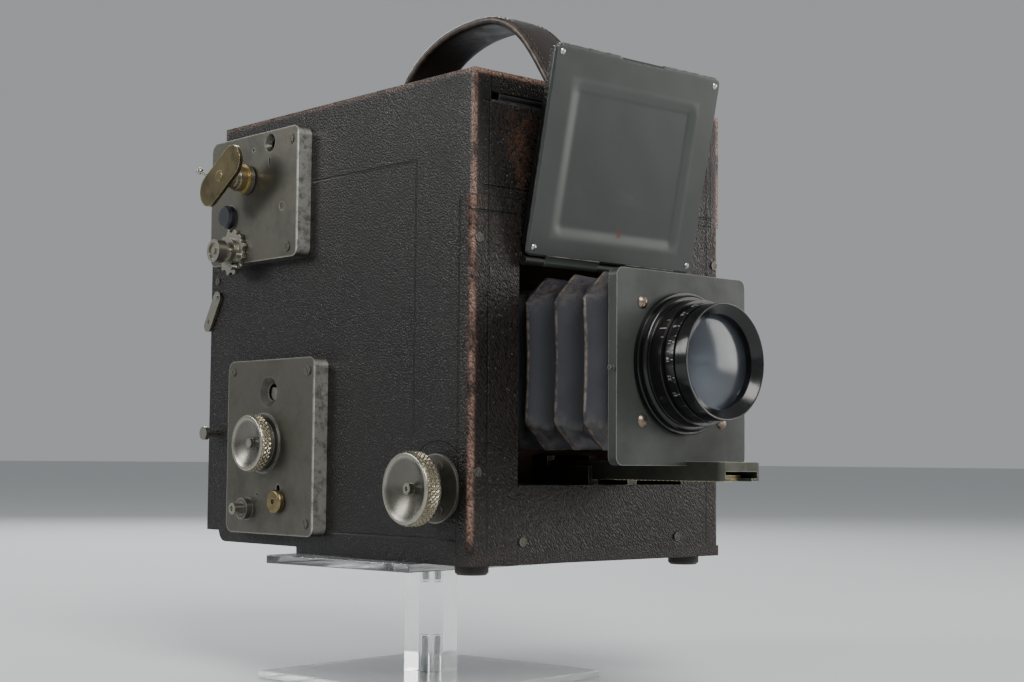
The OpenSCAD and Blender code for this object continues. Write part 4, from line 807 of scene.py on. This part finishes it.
def door_paint():
    """Satin grey-green lacquer with painted shade darkening the panel and a painted highlight paling its slope, a rust
    spot and a rubbed rim.
    """
    n = Nodes("door_paint")
    p = n.split(n.turned(n.vector("SUBTRACT", n.place(), tuple(at(*door_hinge))), -door_lean, "X_AXIS"))
    dx = n.minus(n.size(p[0]), 0.0295)
    dz = n.minus(n.size(n.minus(p[2], 0.038)), 0.0250)
    out = n.larger(dx, dz)
    # Painted shade darkens the recessed panel, and a painted highlight lightens the band of its sloping rim
    panel = n.ramp(out, -0.0022, 0.0012, 1.0, 0.0)
    painted_slope_highlight = n.times(n.ramp(out, -0.0012, 0.0008), n.ramp(out, 0.003, 0.0052, 1.0, 0.0))
    broad = n.noise(26, 5, 0.6)
    streak = n.noise(60, 5, 0.65, stretch=(0.25, 1.0, 1.0))
    speck = n.noise(1100, 3, 0.7)
    colour = n.mix(broad, rgb(0.026, 0.031, 0.029), rgb(0.040, 0.046, 0.043))
    colour = n.mix(n.times(painted_slope_highlight, 0.5), colour, rgb(0.072, 0.080, 0.076))
    colour = n.mix(n.times(panel, 0.45), colour, rgb(0.024, 0.030, 0.030))
    colour = n.mix(n.ramp(streak, 0.6, 0.78, 0.0, 0.4), colour, rgb(0.062, 0.066, 0.06))
    spot = n.length(n.minus(p[0], 0.0015), n.minus(p[2], 0.0135))
    spot = n.plus(spot, n.times(n.minus(n.noise(500, 3), 0.5), 0.002))
    spot = n.ramp(spot, 0.0007, 0.0021, 1.0, 0.0)
    colour = n.mix(n.times(spot, 0.8), colour, rgb(0.075, 0.032, 0.014))
    worn = n.times(n.edge(0.0006), n.ramp(n.noise(170, 4, 0.7), 0.36, 0.62, 0.15, 0.9))
    colour = n.mix(worn, colour, rgb(0.26, 0.25, 0.22))
    colour = n.mix(n.ramp(speck, 0.68, 0.76, 0.0, 0.35), colour, rgb(0.10, 0.10, 0.09))
    level = n.plus(n.ramp(broad, 0.3, 0.75, 0.27, 0.40), n.times(spot, 0.2))
    return n.finish(colour, level, n.bump(n.plus(speck, streak), 0.00006, 0.4), Specular_IOR_Level=0.32)


sharp_by_angle(mesh_object("door_sheet", door_sheet(), "door", [door_paint()], ("front_door",)), 42)


# ---------------------------------------------------------------- lens scale
lens_centre = at(middle_x, 0, lens_z)


def ring_point(radius, angle, y):
    return Vector((lens_centre[0] + radius * mm * math.cos(angle), y_of(y),
                   lens_centre[2] + radius * mm * math.sin(angle)))


def engraved(name, radius, marks, body, figures=()):
    """Filled scale marks on a ring; marks are (angle, y from, y to, width), figures (angle, y, text, height)."""
    bm = bmesh.new()
    for angle, y0, y1, width in marks:
        half = width / 2 / radius
        layers = []
        for lift in (-0.05, 0.025):
            layers.append([bm.verts.new(ring_point(radius + lift, a, y)) for a, y in
                           ((angle - half, y0), (angle + half, y0), (angle + half, y1), (angle - half, y1))])
        bm.faces.new(layers[1])
        bm.faces.new(layers[0])
        join(bm, layers)
    for angle, y, text, height in figures:
        curve = bpy.data.curves.new("figure", "FONT")
        curve.body = text
        curve.size = height
        curve.align_x = "CENTER"
        curve.extrude = 0.03
        maker = bpy.data.objects.new("figure", curve)
        bpy.context.scene.collection.objects.link(maker)
        mesh = bpy.data.meshes.new_from_object(maker.evaluated_get(bpy.context.evaluated_depsgraph_get()))
        points = [bm.verts.new(ring_point(radius + v.co.z, angle - v.co.x / radius, y - v.co.y))
                  for v in mesh.vertices]
        for polygon in mesh.polygons:
            try:
                bm.faces.new([points[i] for i in polygon.vertices])
            except ValueError:  # the font's fill can name the same face twice
                pass
        bpy.data.objects.remove(maker)
        bpy.data.meshes.remove(mesh)
        bpy.data.curves.remove(curve)
    mesh_object(name, bm, body, [scale_white], (), smooth=False)


scale_white = Nodes("scale_white")
scale_white = scale_white.finish(scale_white.mix(scale_white.ramp(scale_white.noise(420, 5, 0.75), 0.35, 0.6),
                                                 rgb(0.08, 0.08, 0.075), rgb(0.55, 0.54, 0.50)),
                                 scale_white.ramp(scale_white.noise(300), 0.3, 0.7, 0.5, 0.7))
stops = ("4.5", "5.6", "8", "11", "16", "22", "32")
stop_angles = [math.radians(112 + 17 * i) for i in range(len(stops))]
index_angle = 150
engraved("aperture_scale", 21.0, [(a, -54.4, -53.5, 0.22) for a in stop_angles], "aperture",
         [(a, -51.5, t, 1.9) for a, t in zip(stop_angles, stops)])
engraved("aperture_index", 22.3, [(math.radians(index_angle), -49.9, -46.8, 0.3)]
         + [(math.radians(index_angle + k), -49.9, -48.4, 0.2) for k in (-9, 9)], "standard")


# ---------------------------------------------------------------- strap
strap_half, strap_channel = 11.0, 0.80


def strap_line():
    """Middle line of the strap, in the camera's own millimetres, as in the CAD part."""
    top, rise, thick = lid_top, 37.3, 4.4
    a, b = (17.5, top + thick / 2), (119.0, top + thick / 2)
    peak = (62.0, top + rise)
    curves = [[a, (31, top + 0.57 * rise), (38, top + rise), peak],
              [peak, (88, top + rise), (107, top + 0.75 * rise), b]]
    points = [(9.0, top + thick / 2), (13.0, top + thick / 2)]
    for c, (p0, p1, p2, p3) in enumerate(curves):
        for i in range(1 if c else 0, 19):
            t = i / 18
            points.append(tuple((1 - t) ** 3 * p0[k] + 3 * (1 - t) ** 2 * t * p1[k]
                                + 3 * (1 - t) * t * t * p2[k] + t ** 3 * p3[k] for k in (0, 1)))
    points += [(122.5, top + thick / 2), (127.0, top + thick / 2)]
    return points


def strap_mesh():
    points = [Vector(p) for p in strap_line()]
    bm = bmesh.new()
    # Crowned outside, flat inside, with a pressed stitching channel near each edge
    crown = [(0.2, 1.0), (0.5, 0.95), (0.74, 0.82), (strap_channel, 0.66), (0.86, 0.80), (0.93, 0.72), (0.985, 0.45),
             (1.0, 0.0)]
    under = [(0.97, -0.6), (0.86, -0.9), (0.4, -0.98)]
    section = [(-x, z) for x, z in reversed(crown)] + crown + under + [(-x, z) for x, z in reversed(under)]
    rings = []
    for i, p in enumerate(points):
        before = points[max(i - 1, 0)]
        after = points[min(i + 1, len(points) - 1)]
        d = (after - before).normalized()
        normal = Vector((-d.y, d.x))
        flat = i < 2 or i > len(points) - 3
        thick = 1.9 if flat else 2.15
        ring = []
        for x, z in section:
            q = p + normal * z * thick
            side = x * strap_half * (0.995 if flat else 1.0)
            ring.append(bm.verts.new(at(middle_x + side, q.x, max(q.y, lid_top + 0.02))))
        rings.append(ring)
    join(bm, rings, turned=True)
    for ring in (rings[0], rings[-1]):
        bm.faces.new(ring)
    return bm


def strap_material():
    n = Nodes("strap_leather")
    p = n.split(n.place())
    off = n.size(n.minus(p[0], at(middle_x, 0, 0)[0]))
    edge = n.ramp(off, 0.0097, 0.0108)
    broad = n.noise(70, 5, 0.65)
    grain = n.cells(700, feature="SMOOTH_F1")
    crack = n.noise(160, 4, 0.7, stretch=(0.4, 1.0, 1.0))
    base = n.mix(broad, rgb(0.011, 0.0085, 0.008), rgb(0.026, 0.018, 0.015))
    base = n.mix(n.times(edge, n.ramp(crack, 0.35, 0.65)), base, rgb(0.085, 0.055, 0.04))
    base = n.mix(n.ramp(crack, 0.66, 0.78, 0.0, 0.5), base, rgb(0.06, 0.04, 0.032))
    height = n.plus(n.times(grain, -0.6), crack)
    return n.finish(base, n.ramp(broad, 0.3, 0.75, 0.30, 0.52), n.bump(height, 0.0002, 0.6),
                    Specular_IOR_Level=0.45)


strap = mesh_object("strap_leather", strap_mesh(), "lid", [strap_material()], ("carrying_strap",))
round_strap = strap.modifiers.new("smooth", "SUBSURF")
round_strap.levels = round_strap.render_levels = 2


def strap_stitches():
    """Two rows of small waxed stitches in the strap's pressed channels."""
    points = [Vector(p) for p in strap_line()][1:-1]
    lengths = [0.0]
    for a, b in zip(points, points[1:]):
        lengths.append(lengths[-1] + (b - a).length)
    bm = bmesh.new()
    pitch, stitch = 2.6, 1.7
    count = int(lengths[-1] / pitch)
    for row in (-strap_channel, strap_channel):
        for i in range(2, count - 1):
            s = i * pitch
            k = max(j for j in range(len(lengths)) if lengths[j] <= s)
            k = min(k, len(points) - 2)
            t = (s - lengths[k]) / (lengths[k + 1] - lengths[k])
            p = points[k].lerp(points[k + 1], t)
            d = (points[k + 1] - points[k]).normalized()
            normal = Vector((-d.y, d.x))
            rings = []
            for j in range(5):
                u = j / 4 - 0.5
                arch = math.cos(math.pi * u)
                c = p + d * u * stitch + normal * (1.50 + 0.28 * arch)
                r = 0.05 + 0.19 * arch
                ring = []
                for m in range(6):
                    a = math.pi * 2 * m / 6
                    q = c + normal * math.sin(a) * r
                    ring.append(bm.verts.new(at(middle_x + row * strap_half + math.cos(a) * r, q.x, q.y)))
                rings.append(ring)
            bm.faces.new(rings[0])
            join(bm, rings)
            bm.faces.new(rings[-1])
    return bm


thread = cloth("waxed_thread", rgb(0.03, 0.022, 0.016), rgb(0.09, 0.065, 0.045), 0.0003, 0.6)
mesh_object("strap_stitches", strap_stitches(), "lid", [thread], ())


# ---------------------------------------------------------------- folded hood under the lid
def hood_mesh(low, high, folds, depth):
    """Open tube of thin leather laid down in flat folds that reach depth inwards."""
    bm = bmesh.new()
    cx, cy = (low[0] + high[0]) / 2, (low[1] + high[1]) / 2
    tall = high[2] - low[2] - 0.0014
    profile = []
    for k in range(2 * folds):
        start, end = (0.0, depth) if k % 2 else (depth, 0.0)
        for i in range(6):
            t = i / 6
            # Each leaf is nearly flat and turns tightly at its fold
            z = k + ease(t)
            profile.append((start + (end - start) * t, z / (2 * folds)))
    profile.append((depth, 1.0))
    rings = []
    count = 112
    for inset, s in profile:
        w = (high[0] - low[0]) / 2 - 0.0009 - inset
        d = (high[1] - low[1]) / 2 - 0.0009 - inset
        ring = []
        for i in range(count):
            a = 2 * math.pi * i / count
            c, t = math.cos(a), math.sin(a)
            q = (abs(c) ** 9 + abs(t) ** 9) ** (-1 / 9)
            ripple = 0.0007 * noise.noise(Vector((c * 4, t * 4, s * 21)))
            lift = 0.00045 * noise.noise(Vector((c * 3, t * 3, s * 9 + 3)))
            ring.append(bm.verts.new((cx + (w - abs(ripple)) * c * q, cy + (d - abs(ripple)) * t * q,
                                      low[2] + 0.0007 + tall * s + lift)))
        rings.append(ring)
    join(bm, rings)
    return bm


hood_low, hood_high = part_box("focusing_hood")
hood_folds, hood_depth = 6, 0.013
hood = mesh_object("hood_folds", hood_mesh(hood_low, hood_high, hood_folds, hood_depth), "case", [black_cloth],
                   ("focusing_hood",))
hood_skin = hood.modifiers.new("thickness", "SOLIDIFY")
hood_skin.thickness = 0.0005
hood_skin.offset = 0


# ---------------------------------------------------------------- floor
bm = bmesh.new()
bmesh.ops.create_grid(bm, x_segments=2, y_segments=2, size=25.0)
n = Nodes("floor_paper")
floor_paper = n.finish(n.mix(n.noise(3, 3), rgb(0.60, 0.62, 0.63), rgb(0.64, 0.655, 0.66)), 0.75)
floor = mesh_object("floor", bm, None, [floor_paper], smooth=False)
floor.location = (0, 0, cad_box[0][2] - 0.0002)
